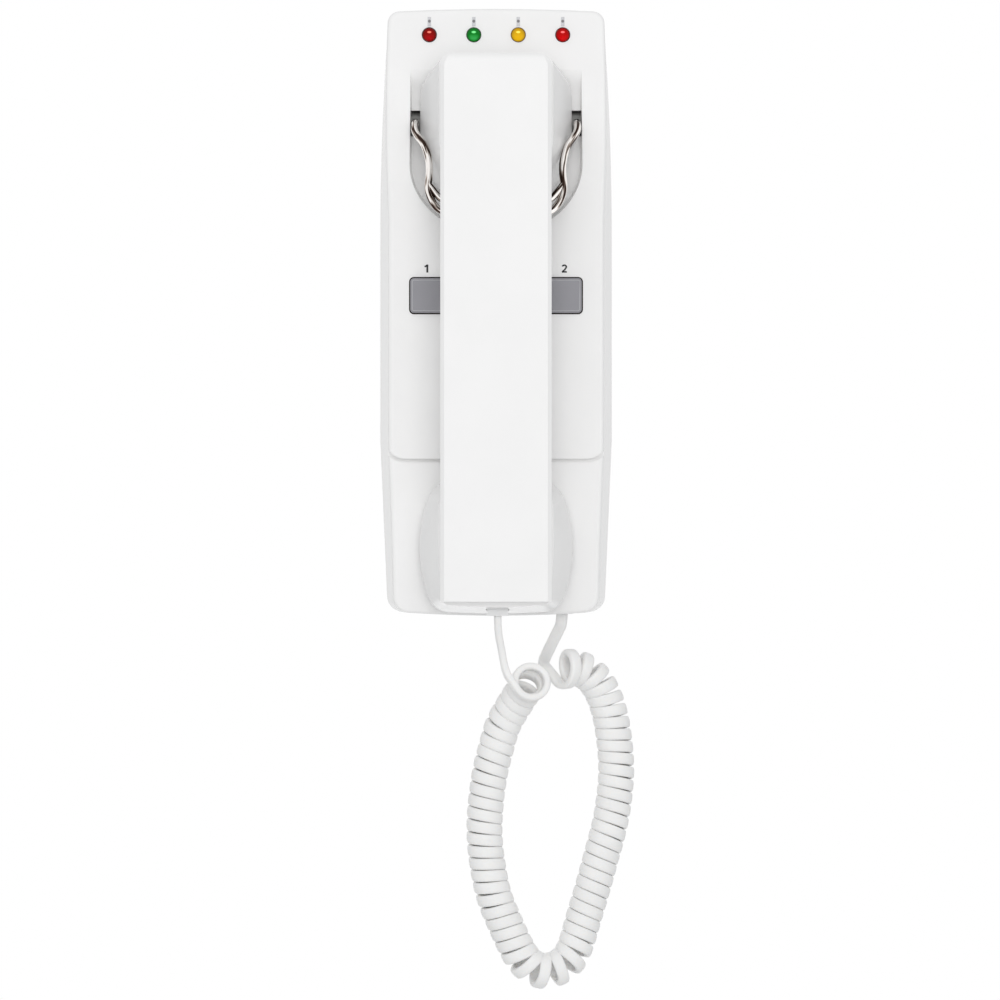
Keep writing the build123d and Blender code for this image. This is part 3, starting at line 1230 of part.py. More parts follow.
def handset_front_shell(hollow):
    """Returns the long front plate of the handset with its bevelled edge and screw bosses."""
    shell = bar_form(0, SPLIT_DEPTH, BAR_FRONT_DEPTH)
    front_edges = shell.faces().sort_by(Axis.Y)[0].edges()
    shell = chamfer(front_edges.sort_by(Axis.Z)[1:], BAR_BEVEL) & plate_roll()
    shell -= hollow
    inner = BAR_FRONT_DEPTH - SHELL_WALL
    for z in handset_screw_places():
        shell += pin(0, z, HANDSET_BOSS_RADIUS, SPLIT_DEPTH, inner + SHELL_WALL / 2)
        shell -= pin(0, z, HANDSET_SCREW_RADIUS + THREAD_GAP, SPLIT_DEPTH - OVERRUN, inner)
    return shell


def handset_back_shell(hollow):
    """Returns the handle's back with the two flared cups, open towards their caps."""
    handle = bar_form(0, BAR_BACK_DEPTH, SPLIT_DEPTH)
    handle = fillet(handle.faces().sort_by(Axis.Y)[-1].edges(), HANDLE_ROUND)
    ear = in_depths(ear_outside(), EAR_CAP_DEPTH, SPLIT_DEPTH)
    mouth = in_depths(mouth_outside(), MOUTH_CAP_DEPTH, SPLIT_DEPTH)
    shell = handle + ear + mouth - hollow
    for z in handset_screw_places():
        seat = BAR_BACK_DEPTH + HANDSET_SCREW_SINK + HANDSET_SCREW_HEAD
        shell += pin(0, z, HANDSET_BOSS_RADIUS, BAR_BACK_DEPTH + SHELL_WALL / 2, SPLIT_DEPTH)
        shell -= pin(0, z, HANDSET_SCREW_RADIUS + PLUG_GAP, BAR_BACK_DEPTH - OVERRUN, SPLIT_DEPTH + OVERRUN)
        shell -= pin(0, z, HANDSET_SCREW_HEAD_RADIUS + PLUG_GAP, BAR_BACK_DEPTH - OVERRUN, seat)
    mouth_opening = (MOUTH_LOW_Z - MOUTH_LOW_CROWN - OVERRUN, HANDSET_JACK_Z)
    across = around(HANDSET_PLUG_X, PLUG_WIDTH / 2 + SEAT_GAP)
    return shell - block(across, around(HANDSET_PLUG_DEPTH, PLUG_DEPTH / 2 + SEAT_GAP), mouth_opening)


def sound_holes(z, back, front):
    """Returns one hole in the middle and a ring of holes round it."""
    places = [(0, z)]
    for index in range(SOUND_RING_COUNT):
        angle = 2 * pi * index / SOUND_RING_COUNT
        places.append((SOUND_RING_RADIUS * cos(angle), z + SOUND_RING_RADIUS * sin(angle)))
    return [pin(x, height, SOUND_HOLE_RADIUS, back - OVERRUN, front + OVERRUN) for x, height in places]


def ear_cap(hollow):
    """Returns the listening cap with its sound holes and the ring that the earpiece sits on."""
    inner = EAR_REAR_DEPTH + SHELL_WALL
    cap = in_depths(ear_outside(), EAR_REAR_DEPTH - OVERRUN, EAR_CAP_DEPTH) - hollow
    ring = pin(0, EARPIECE_Z, EARPIECE_SEAT_RADIUS, inner - SHELL_WALL / 2, EARPIECE_SEAT_DEPTH)
    hole_radius = EARPIECE_SEAT_RADIUS - EARPIECE_SEAT_WALL
    ring -= pin(0, EARPIECE_Z, hole_radius, inner - SHELL_WALL, EARPIECE_SEAT_DEPTH + OVERRUN)
    cap += ring
    return cap - sound_holes(EARPIECE_Z - SOUND_RING_RADIUS / 2, EAR_REAR_DEPTH, inner)


def mouth_cap(hollow):
    """Returns the speaking cap with its sound holes."""
    inner = mouth_rear_depth() + SHELL_WALL
    cap = in_depths(mouth_outside(), mouth_rear_depth() - OVERRUN, MOUTH_CAP_DEPTH) - hollow
    hole = pin(0, MICROPHONE_Z, SOUND_HOLE_RADIUS, mouth_rear_depth() - OVERRUN, inner + OVERRUN)
    return cap - hole


def earpiece_capsule():
    """Returns the earpiece with the magnet on its inner side."""
    front = EARPIECE_SEAT_DEPTH + EARPIECE_HEIGHT
    body = pin(0, EARPIECE_Z, EARPIECE_RADIUS, EARPIECE_SEAT_DEPTH, front)
    return body + pin(0, EARPIECE_Z, MAGNET_RADIUS, front, front + MAGNET_HEIGHT)


def boot_depths():
    """Returns the depths of the microphone boot's back, floor and front."""
    back = mouth_rear_depth() + SHELL_WALL
    floor = back + BOOT_FLOOR
    return back, floor, floor + MICROPHONE_HEIGHT


def microphone_boot():
    """Returns the rubber boot that holds the microphone over its sound hole."""
    back, floor, front = boot_depths()
    boot = pin(0, MICROPHONE_Z, MICROPHONE_RADIUS + BOOT_WALL, back, front)
    boot -= pin(0, MICROPHONE_Z, MICROPHONE_RADIUS, floor, front + OVERRUN)
    return boot - pin(0, MICROPHONE_Z, SOUND_HOLE_RADIUS, back - OVERRUN, floor + OVERRUN)


def microphone_capsule():
    """Returns the round microphone."""
    _, floor, front = boot_depths()
    return pin(0, MICROPHONE_Z, MICROPHONE_RADIUS, floor, front)


def ballast_weight():
    """Returns the steel bar that gives the handset its weight on the hook."""
    back = BAR_BACK_DEPTH + SHELL_WALL
    depths = (back, back + BALLAST_THICKNESS)
    return block(around(0, BALLAST_HALF_WIDTH), depths, (BALLAST_LOW_Z, BALLAST_TOP_Z))


def handset_screws():
    """Returns the two screws driven into the handset from behind."""
    screws = []
    for z in handset_screw_places():
        back = BAR_BACK_DEPTH + HANDSET_SCREW_SINK
        seat = back + HANDSET_SCREW_HEAD
        head = pin(0, z, HANDSET_SCREW_HEAD_RADIUS, back, seat)
        slot_half = HANDSET_SCREW_HEAD / 4
        slot_depths = (back, back + slot_half * 2)
        head -= block(around(0, HANDSET_SCREW_HEAD_RADIUS), slot_depths, around(z, slot_half))
        screws.append(head + pin(0, z, HANDSET_SCREW_RADIUS, seat, seat + HANDSET_SCREW_LENGTH))
    return screws


def handset_wires():
    """Returns the wires from the handset's jack to its earpiece and its microphone."""
    jack_top = HANDSET_JACK_Z + JACK_HEIGHT
    quarter = JACK_WIDTH / 4
    side = (BALLAST_HALF_WIDTH + BAR_HALF_WIDTH - SHELL_WALL) / 2
    middle = (BAR_BACK_DEPTH + BAR_FRONT_DEPTH) / 2
    earpiece_back = EARPIECE_SEAT_DEPTH + EARPIECE_HEIGHT
    up = [
        spot(quarter, HANDSET_PLUG_DEPTH, jack_top),
        spot(quarter, HANDSET_PLUG_DEPTH, jack_top + quarter),
        spot(side, middle, jack_top + JACK_HEIGHT),
        spot(side, middle, EAR_FRONT_LOW_Z + MAGNET_RADIUS),
        spot(MAGNET_RADIUS + quarter, HANDSET_PLUG_DEPTH, EARPIECE_Z),
        spot(MAGNET_RADIUS + quarter, earpiece_back, EARPIECE_Z),
    ]
    front = boot_depths()[2]
    across = [
        spot(-quarter, HANDSET_PLUG_DEPTH, jack_top),
        spot(-quarter, HANDSET_PLUG_DEPTH, MICROPHONE_Z),
        spot(0, front + quarter, MICROPHONE_Z),
        spot(0, front, MICROPHONE_Z),
    ]
    return [tube(route, HANDSET_WIRE_RADIUS)[0] for route in (up, across)]


def cord_plug(x, depth, low):
    """Returns the plug on one end of the cord, standing on its lower face."""
    body = block(around(x, PLUG_WIDTH / 2), around(depth, PLUG_DEPTH / 2), (low, low + PLUG_LENGTH))
    return chamfer(body.faces().sort_by(Axis.Z)[-1].edges(), PLUG_GAP * 2)


def cord_jack(x, depth, low, plug_low):
    """Returns the jack round a plug, open below."""
    jack = block(around(x, JACK_WIDTH / 2), around(depth, JACK_DEPTH / 2), (low, low + JACK_HEIGHT))
    top = plug_low + PLUG_LENGTH + SEAT_GAP
    half_width = PLUG_WIDTH / 2 + RUNNING_GAP
    depths = around(depth, PLUG_DEPTH / 2 + RUNNING_GAP)
    return jack - block(around(x, half_width), depths, (low - OVERRUN, top))


def curl_axis():
    """Returns points along the smooth axis of the curls, evenly spaced, and the distance of each along it."""
    control = np.array([tuple(cord_spot(place)) for place in CURL_AXIS])
    pieces = []
    last = len(control) - 1
    share = np.linspace(0, 1, CURL_SAMPLES // last, endpoint=False)[:, None]
    for index in range(1, last):
        start = control[0] if index == 1 else (control[index - 1] + control[index]) / 2
        end = control[last] if index == last - 1 else (control[index] + control[index + 1]) / 2
        pieces.append((1 - share) ** 2 * start + 2 * share * (1 - share) * control[index] + share**2 * end)
    line = np.vstack(pieces + [control[last][None]])
    along = np.concatenate([[0], np.cumsum(np.linalg.norm(np.diff(line, axis=0), axis=1))])
    even = np.linspace(0, along[-1], CURL_SAMPLES)
    line = np.stack([np.interp(even, along, line[:, axis]) for axis in range(3)], 1)
    half = int(CURL_SMOOTHING / 2 / even[1])
    steps = np.arange(1, half + 1)[:, None]
    lead = line[0] + (line[0] - line[1]) * steps[::-1]
    trail = line[-1] + (line[-1] - line[-2]) * steps
    kernel = np.ones(half * 2 + 1) / (half * 2 + 1)
    padded = np.vstack([lead, line, trail])
    return np.stack([np.convolve(padded[:, axis], kernel, "valid") for axis in range(3)], 1), even


def curl_line():
    """Returns points along the middle of the curled cord and how many turns each has gone.

    A turn climbs more where the axis bends, so the turns fan out round the bend and never touch inside it.
    """
    line, along = curl_axis()
    ahead = np.gradient(line, along, axis=0)
    ahead /= np.linalg.norm(ahead, axis=1)[:, None]
    bend = np.linalg.norm(np.gradient(ahead, along, axis=0), axis=1)
    half = int(CURL_SMOOTHING / 2 / along[1])
    kernel = np.ones(half * 2 + 1) / (half * 2 + 1)
    bend = np.convolve(np.pad(bend, half, "edge"), kernel, "valid")
    rate = 1 - CURL_BEND_REACH * bend
    turns = np.concatenate([[0], np.cumsum((rate[1:] + rate[:-1]) / 2)])
    turns *= CURL_TURNS / turns[-1]
    deep = np.array([0.0, 1.0, 0.0]) - ahead * ahead[:, 1:2]
    deep /= np.linalg.norm(deep, axis=1)[:, None]
    side = np.cross(ahead, deep)
    angle = radians(CURL_START_ANGLE) - 2 * pi * turns
    to_end = np.minimum(turns, turns[-1] - turns)
    radius = CURL_RADIUS + CURL_END_FLARE * np.clip(1 - to_end / CURL_END_TURNS, 0, 1) ** 2
    return line + radius[:, None] * (np.cos(angle)[:, None] * deep + np.sin(angle)[:, None] * side), turns


def biarc_join(start, start_way, end, end_way):
    """Returns the point where two arcs meet that leave one point and reach another in given directions."""
    across = end - start
    both = start_way + end_way
    square = 2 * (1 - start_way @ end_way)
    middle = across @ both
    reach = (np.sqrt(middle**2 + square * (across @ across)) - middle) / square
    return (start + end + reach * (start_way - end_way)) / 2


def swept_arcs(places, ways, radius, lead):
    """Returns a round tube on two arcs between each pair of places, with a straight lead at each end."""
    ways = ways / np.linalg.norm(ways, axis=1)[:, None]
    edges = []
    if lead:
        edges.append(Edge.make_line(Vector(*(places[0] - lead * ways[0])), Vector(*places[0])))
    for start, start_way, end, end_way in zip(places, ways, places[1:], ways[1:]):
        join = Vector(*biarc_join(start, start_way, end, end_way))
        first = Edge.make_tangent_arc(Vector(*start), Vector(*start_way), join)
        edges += [first, Edge.make_tangent_arc(join, first % 1, Vector(*end))]
    if lead:
        edges.append(Edge.make_line(Vector(*places[-1]), Vector(*(places[-1] + lead * ways[-1]))))
    path = Wire(edges)
    section = Plane(origin=path @ 0, z_dir=path % 0) * Circle(radius)
    return sweep(section, path=path)


def curl_places():
    """Returns the ends of the curls' arcs and the cord's direction at each."""
    line, turns = curl_line()
    count = round(CURL_TURNS / CURL_ARC_TURNS_SHARE)
    marks = np.linspace(0, turns[-1], count + 1)
    way = np.gradient(line, turns, axis=0)
    places = np.stack([np.interp(marks, turns, line[:, axis]) for axis in range(3)], 1)
    return places, np.stack([np.interp(marks, turns, way[:, axis]) for axis in range(3)], 1)


def print_curl_gap():
    """Prints the least gap between the curled cord and itself, and the cord's length in the curls."""
    line, turns = curl_line()
    apart = []
    for place, turn in zip(line[::4], turns[::4]):
        others = line[np.abs(turns - turn) > 1 / 2]
        apart.append(np.linalg.norm(others - place, axis=1).min())
    length = np.linalg.norm(np.diff(line, axis=0), axis=1).sum()
    print("curls: least gap", round(min(apart) - CORD_DIAMETER, 2), "cord length", round(length, 1))


def cord_curls():
    """Returns the curled cord as one unbroken tube."""
    places, ways = curl_places()
    return swept_arcs(places, ways, CORD_DIAMETER / 2, CORD_DIAMETER)


def cord_tail(plug_end, lead, route, place, way, name):
    """Returns a free tail of the cord, from straight below its plug into the curls' straight lead.

    The radii of its bends are printed.
    """
    unit = way / np.linalg.norm(way)
    end = place + unit * CORD_DIAMETER
    points = [plug_end, plug_end - Vector(0, 0, lead)] + [cord_spot(stop) for stop in route]
    points += [Vector(*(end + unit * CURL_LEAD_RUN)), Vector(*end)]
    solid, radii = tube(points, CORD_DIAMETER / 2)
    print(name, "bend radii", [round(radius, 1) for radius in radii], "volume", round(solid.volume))
    return solid


def save(name, solids):
    """Writes one piece, or several alike, to its own file."""
    if isinstance(solids, list):
        solids = Compound(children=[solid for group in solids for solid in group.solids()])
    export_step(solids, f"parts/{name}.step")


def base_pieces():
    """Returns the pieces of the wall base by name."""
    pieces = {
        "front_cover": front_cover(),
        "back_plate": back_plate(),
        "cover_screw": cover_screw(),
        "main_board": main_board(),
        "board_screws": board_screws(),
        "call_buzzer": call_buzzer(),
        "terminal_block": terminal_block(),
        "terminal_screws": terminal_screws(),
        "indicator_board": indicator_board(),
        "indicator_screws": indicator_screws(),
        "ribbon_cable": ribbon_cable(),
        "hook_wire": hook_wire(),
        "hook_rocker": hook_rocker(),
        "hook_switch": hook_switch(),
        "hook_switch_screws": hook_switch_screws(),
        "hook_spring": hook_spring(),
        "base_jack": cord_jack(BASE_PLUG_X, BASE_PLUG_DEPTH, base_jack_low(), BASE_PLUG_Z),
        "base_plug": cord_plug(BASE_PLUG_X, BASE_PLUG_DEPTH, BASE_PLUG_Z),
    }
    for number, x in enumerate(light_places(), 1):
        pieces[f"indicator_light_{number}"] = indicator_light(x)
    for number, side in enumerate((-1, 1), 1):
        pieces[f"hook_bush_{number}"] = hook_bush(side)
        pieces[f"push_button_{number}"] = push_button(side)
        pieces[f"push_switch_{number}"] = push_switch(side)
        pieces[f"push_plunger_{number}"] = push_plunger(side)
    return pieces


def handset_pieces():
    """Returns the pieces of the handset by name."""
    hollow = handset_hollow()
    return {
        "handset_front_shell": handset_front_shell(hollow),
        "handset_back_shell": handset_back_shell(hollow),
        "ear_cap": ear_cap(hollow),
        "mouth_cap": mouth_cap(hollow),
        "earpiece_capsule": earpiece_capsule(),
        "microphone_boot": microphone_boot(),
        "microphone_capsule": microphone_capsule(),
        "ballast_weight": ballast_weight(),
        "handset_screws": handset_screws(),
        "handset_wires": handset_wires(),
        "handset_jack": cord_jack(HANDSET_PLUG_X, HANDSET_PLUG_DEPTH, HANDSET_JACK_Z, HANDSET_PLUG_Z),
        "handset_plug": cord_plug(HANDSET_PLUG_X, HANDSET_PLUG_DEPTH, HANDSET_PLUG_Z),
    }


def cord_pieces():
    """Returns the curls and the two free tails of the cord by name."""
    places, ways = curl_places()
    print_curl_gap()
    return {
        "cord_curls": cord_curls(),
        "cord_handset_tail": cord_tail(
            spot(HANDSET_PLUG_X, HANDSET_PLUG_DEPTH, HANDSET_PLUG_Z),
            HANDSET_TAIL_LEAD,
            HANDSET_TAIL,
            places[0],
            -ways[0],
            "handset tail",
        ),
        "cord_base_tail": cord_tail(
            spot(BASE_PLUG_X, BASE_PLUG_DEPTH, BASE_PLUG_Z),
            BASE_TAIL_LEAD,
            BASE_TAIL,
            places[-1],
            ways[-1],
            "base tail",
        ),
    }


os.makedirs("parts", exist_ok=True)
for piece_name, piece in {**base_pieces(), **handset_pieces(), **cord_pieces()}.items():
    save(piece_name, piece)
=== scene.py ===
"""Looks of a wall intercom set: a white base, a handset on a chrome wire hook and a curly cord.

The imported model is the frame, in metres, with X to the right, Z up and the wall behind at Y = 0.
A depth is a distance in front of the wall, so a point at depth d lies at Y = -d.
"""

import logging
from dataclasses import dataclass
from enum import Enum
from typing import Any, Sequence, Union

import bpy
import numpy as np
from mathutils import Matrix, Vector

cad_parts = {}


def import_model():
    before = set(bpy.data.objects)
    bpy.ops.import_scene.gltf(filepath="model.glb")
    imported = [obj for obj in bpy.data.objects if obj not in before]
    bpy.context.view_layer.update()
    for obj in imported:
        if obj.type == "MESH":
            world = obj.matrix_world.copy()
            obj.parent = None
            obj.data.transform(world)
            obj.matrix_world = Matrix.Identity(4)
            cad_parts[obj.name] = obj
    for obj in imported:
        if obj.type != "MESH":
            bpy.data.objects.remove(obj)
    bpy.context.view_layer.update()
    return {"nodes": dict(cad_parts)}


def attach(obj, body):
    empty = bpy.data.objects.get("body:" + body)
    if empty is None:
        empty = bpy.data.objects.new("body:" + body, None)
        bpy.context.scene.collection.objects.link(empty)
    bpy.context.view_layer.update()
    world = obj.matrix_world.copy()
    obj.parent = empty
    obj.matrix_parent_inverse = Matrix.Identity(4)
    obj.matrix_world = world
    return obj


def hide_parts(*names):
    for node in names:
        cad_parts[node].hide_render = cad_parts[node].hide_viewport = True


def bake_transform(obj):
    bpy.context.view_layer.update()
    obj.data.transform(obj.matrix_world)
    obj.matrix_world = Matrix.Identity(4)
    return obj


LOG = logging.getLogger("intercom")
MM = 0.001
TURN = 2 * np.pi
Colour = tuple[float, float, float]
Place = tuple[float, float, float]


class Weave(Enum):
    """How a grid of points is closed into a surface."""

    TUBE = "tube"
    SHEET = "sheet"


# Shader maths


class Signal:
    """A number that changes over a surface, held as the socket that it comes out of."""

    def __init__(self, graph: "Graph", socket: bpy.types.NodeSocket) -> None:
        """Holds a socket.

        Args:
            graph: The material that the socket is in.
            socket: The socket that carries the number.
        """
        self.graph = graph
        self.socket = socket

    def _join(self, operation: str, first: Any, second: Any) -> "Signal":
        """Returns the outcome of one Math node on two numbers."""
        made = self.graph.node("ShaderNodeMath", {"operation": operation}, {0: first, 1: second})
        return Signal(self.graph, made.outputs[0])

    def __add__(self, other: Any) -> "Signal":
        """Returns the sum."""
        return self._join("ADD", self, other)

    def __radd__(self, other: Any) -> "Signal":
        """Returns the sum, with this number second."""
        return self._join("ADD", other, self)

    def __sub__(self, other: Any) -> "Signal":
        """Returns the difference."""
        return self._join("SUBTRACT", self, other)

    def __rsub__(self, other: Any) -> "Signal":
        """Returns the difference, with this number second."""
        return self._join("SUBTRACT", other, self)

    def __mul__(self, other: Any) -> "Signal":
        """Returns the product."""
        return self._join("MULTIPLY", self, other)

    def __pow__(self, other: Any) -> "Signal":
        """Returns the power."""
        return self._join("POWER", self, other)

    def most(self, other: Any) -> "Signal":
        """Returns the larger of two numbers."""
        return self._join("MAXIMUM", self, other)


class Graph:
    """The nodes of a material or of the surround."""

    def __init__(self, owner: Union[bpy.types.Material, bpy.types.World]) -> None:
        """Clears the owner's nodes.

        Args:
            owner: The material or the surround that the nodes are put into.
        """
        owner.use_nodes = True
        self.owner = owner
        self.tree = owner.node_tree
        self.tree.nodes.clear()

    @classmethod
    def of_material(cls, name: str) -> "Graph":
        """Starts a new material with no nodes."""
        return cls(bpy.data.materials.new(name))

    def node(self, kind: str, settings: dict[str, Any], inputs: dict[Any, Any]) -> bpy.types.Node:
        """Adds a node.

        Args:
            kind: The node's type.
            settings: What is set on the node first; stops are a ramp's places and colours.
            inputs: A value, a socket or a signal for each named or numbered input.

        Returns:
            The node.
        """
        made = self.tree.nodes.new(kind)
        for name, value in settings.items():
            if name == "stops":
                ramp = made.color_ramp
                while len(ramp.elements) < len(value):
                    ramp.elements.new(1.0)
                for element, (position, colour) in zip(ramp.elements, value):
                    element.position = position
                    element.color = (*colour, 1.0)
            else:
                setattr(made, name, value)
        for name, value in inputs.items():
            if isinstance(value, Signal):
                value = value.socket
            if isinstance(value, bpy.types.NodeSocket):
                self.tree.links.new(value, made.inputs[name])
            else:
                made.inputs[name].default_value = value
        return made

    def places(self) -> bpy.types.NodeSocket:
        """Returns the socket with each point's place on the object."""
        return self.node("ShaderNodeTexCoord", {}, {}).outputs["Object"]

    def seen(self) -> Signal:
        """Returns one for light that comes to the eye straight, mirrored or through clear stuff."""
        path = self.node("ShaderNodeLightPath", {}, {})
        eye, mirrored, clear = (
            Signal(self, path.outputs[name])
            for name in ("Is Camera Ray", "Is Glossy Ray", "Is Transmission Ray")
        )
        return eye.most(mirrored).most(clear)

    def noise(
        self,
        scale: float,
        detail: float = 2.0,
        stretch: Place = (1.0, 1.0, 1.0),
        places: Union[bpy.types.NodeSocket, None] = None,
    ) -> Signal:
        """Returns soft noise from 0 to 1.

        Args:
            scale: How many features fit in a metre.
            detail: How many finer layers are added.
            stretch: How much denser the features are along each axis.
            places: Where each point lies, in place of its place on the object.
        """
        vector = places or self.places()
        placed = self.node("ShaderNodeMapping", {}, {"Vector": vector, "Scale": stretch})
        inputs = {"Vector": placed.outputs[0], "Scale": scale, "Detail": detail}
        return Signal(self, self.node("ShaderNodeTexNoise", {}, inputs).outputs[0])

    def attribute(self, name: str) -> Signal:
        """Returns a number that is stored on the mesh's points."""
        made = self.node("ShaderNodeAttribute", {"attribute_name": name}, {})
        return Signal(self, made.outputs["Fac"])

    def attribute_places(self, name: str) -> bpy.types.NodeSocket:
        """Returns places that are stored on the mesh's points."""
        return self.node("ShaderNodeAttribute", {"attribute_name": name}, {}).outputs["Vector"]

    def ramp(self, share: Signal, stops: Sequence[tuple[float, Colour]]) -> bpy.types.NodeSocket:
        """Returns a colour looked up along a ramp."""
        made = self.node("ShaderNodeValToRGB", {"stops": stops}, {0: share})
        return made.outputs[0]

    def bump(self, height: Signal, distance: float, strength: float) -> bpy.types.NodeSocket:
        """Returns a normal that a height pushes about.

        Args:
            height: The height from 0 to 1.
            distance: The full height, in metres.
            strength: How much of it shows.
        """
        inputs = {"Height": height, "Distance": distance, "Strength": strength}
        return self.node("ShaderNodeBump", {}, inputs).outputs[0]

    def surface(self, inputs: dict[str, Any]) -> bpy.types.Material:
        """Ends the material in one principled surface.

        Args:
            inputs: The surface's sockets.

        Returns:
            The material.
        """
        made = self.node("ShaderNodeBsdfPrincipled", {}, inputs)
        self.node("ShaderNodeOutputMaterial", {}, {"Surface": made.outputs[0]})
        return self.owner


# Finishes


@dataclass(frozen=True)
class MouldedPlastic:
    """Injection-moulded plastic with a faint ripple, mould grain and a slight change of tone."""

    name: str
    colour: Colour
    roughness: float
    roughness_spread: float = 0.06
    tone_share: float = 0.985
    ripple_scale: float = 45.0
    ripple_height: float = 0.04 * MM
    dull_share: float = 0.35
    full_share: float = 0.65
    grain_scale: float = 2600.0
    grain_share: float = 0.02
    gloss_level: float = 0.5

    def material(self) -> bpy.types.Material:
        """Returns the finish as a material."""
        graph = Graph.of_material(self.name)
        cloud = graph.noise(self.ripple_scale)
        grain = graph.noise(self.grain_scale, 1.0)
        dull = tuple(part * self.tone_share for part in self.colour)
        colour = graph.ramp(cloud, ((self.dull_share, dull), (self.full_share, self.colour)))
        height = cloud + grain * self.grain_share
        return graph.surface({
            "Base Color": colour,
            "Roughness": self.roughness + (cloud - 0.5) * self.roughness_spread,
            "Normal": graph.bump(height, self.ripple_height, 1.0),
            "Specular IOR Level": self.gloss_level,
        })


@dataclass(frozen=True)
class PlatedMetal:
    """Metal with fine drawn streaks, darker where they gather, and a change of gloss along it."""

    name: str
    colour: Colour
    dark: Colour
    roughness: float
    streak_scale: float = 900.0
    streak_detail: float = 3.0
    streak_height: float = 0.01 * MM
    streak_strength: float = 0.5
    dark_share: float = 0.44
    bright_share: float = 0.6

    def material(self) -> bpy.types.Material:
        """Returns the finish as a material."""
        graph = Graph.of_material(self.name)
        streak = graph.noise(self.streak_scale, self.streak_detail)
        stops = ((self.dark_share, self.dark), (self.bright_share, self.colour))
        return graph.surface({
            "Base Color": graph.ramp(streak, stops),
            "Metallic": 1.0,
            "Roughness": self.roughness + streak * self.roughness,
            "Normal": graph.bump(streak, self.streak_height, self.streak_strength),
        })


@dataclass(frozen=True)
class ChromeWithPaintedReflections:
    """Bright drawn wire whose colour carries painted reflections: long dark streaks that follow it and
    drift round it.
    """

    name: str
    # Bright, middle and dark tones of the painted reflections.
    colour: Colour
    middle: Colour
    dark: Colour
    places: str
    streak_scale: float = 210.0
    stretch: Place = (0.5, 4.6, 4.6)
    dark_share: float = 0.43
    middle_share: float = 0.49
    bright_share: float = 0.54
    roughness: float = 0.1
    roughness_spread: float = 0.08
    fine_scale: float = 1500.0

    def material(self) -> bpy.types.Material:
        """Returns the finish as a material."""
        graph = Graph.of_material(self.name)
        # Painted reflections: dark streaks laid along the wire and round it stand in for surroundings
        # mirrored in the chrome.
        where = graph.attribute_places(self.places)
        streak = graph.noise(self.streak_scale, 1.0, self.stretch, where)
        stops = (
            (self.dark_share, self.dark),
            (self.middle_share, self.middle),
            (self.bright_share, self.colour),
        )
        return graph.surface({
            "Base Color": graph.ramp(streak, stops),
            "Metallic": 1.0,
            "Roughness": self.roughness + graph.noise(self.fine_scale) * self.roughness_spread,
        })


@dataclass(frozen=True)
class LampLens:
    """Tinted clear resin whose colour carries painted light: painted shade at its edge, a painted glow
    below its middle and a painted highlight above it, with a faint painted glow as emission.
    """

    name: str
    # Colours from the edge inwards: painted shade at the edge, the lens's own tint, a brighter painted
    # glow, and the painted highlight.
    rim_shade: Colour
    body: Colour
    painted_bright_core: Colour
    painted_highlight: Colour
    # Place, size and strength of the painted highlight.
    painted_highlight_up: float = 0.34
    painted_highlight_half: tuple[float, float] = (0.38, 0.2)
    painted_highlight_strength: float = 0.95
    # How the painted shade at the edge falls off, and how uneven its border is.
    rim_shade_power: float = 5.0
    rim_shade_unevenness: float = 0.04
    rim_shade_scale: float = 700.0
    # The tint's share of painted light, then the strength and reach of the painted glow below the middle.
    body_light: float = 0.38
    painted_low_glow_strength: float = 0.34
    painted_low_glow_reach: float = 0.15
    # Strength of the emission, a faint painted glow; the lens lights nothing.
    glow: float = 0.3
    gloss_level: float = 0.08
    roughness: float = 0.12
    roughness_spread: float = 0.05
    fine_scale: float = 900.0

    def material(self) -> bpy.types.Material:
        """Returns the finish as a material."""
        graph = Graph.of_material(self.name)
        side, up = graph.attribute("lens_side"), graph.attribute("lens_up")
        # Painted shade: the colour darkens towards the lens's edge, along an uneven border.
        uneven = (graph.noise(self.rim_shade_scale) - 0.5) * self.rim_shade_unevenness
        rim_shade_falloff = 1.0 - (graph.attribute("lens_share") + uneven) ** self.rim_shade_power
        # Painted highlight: a small bright oval above the middle.
        half_side, half_up = self.painted_highlight_half
        from_painted_highlight = (side * (1 / half_side)) ** 2.0 + ((up - self.painted_highlight_up) * (1 / half_up)) ** 2.0
        painted_highlight = (1.0 - from_painted_highlight).most(0.0)
        # Painted glow in the lower half of the lens.
        painted_low_glow = (up * -1.0 + self.painted_low_glow_reach).most(0.0)
        # How much painted light each point gets picks its colour along the ramp.
        light = rim_shade_falloff * (self.body_light + painted_low_glow * self.painted_low_glow_strength) + painted_highlight * self.painted_highlight_strength
        stops = ((0.0, self.rim_shade), (0.4, self.body), (0.7, self.painted_bright_core), (1.0, self.painted_highlight))
        colour = graph.ramp(light, stops)
        return graph.surface({
            "Base Color": colour,
            "Roughness": self.roughness + graph.noise(self.fine_scale) * self.roughness_spread,
            # The same colour feeds the emission as a faint painted glow.
            "Emission Color": colour,
            "Emission Strength": self.glow,
            "Specular IOR Level": self.gloss_level,
        })


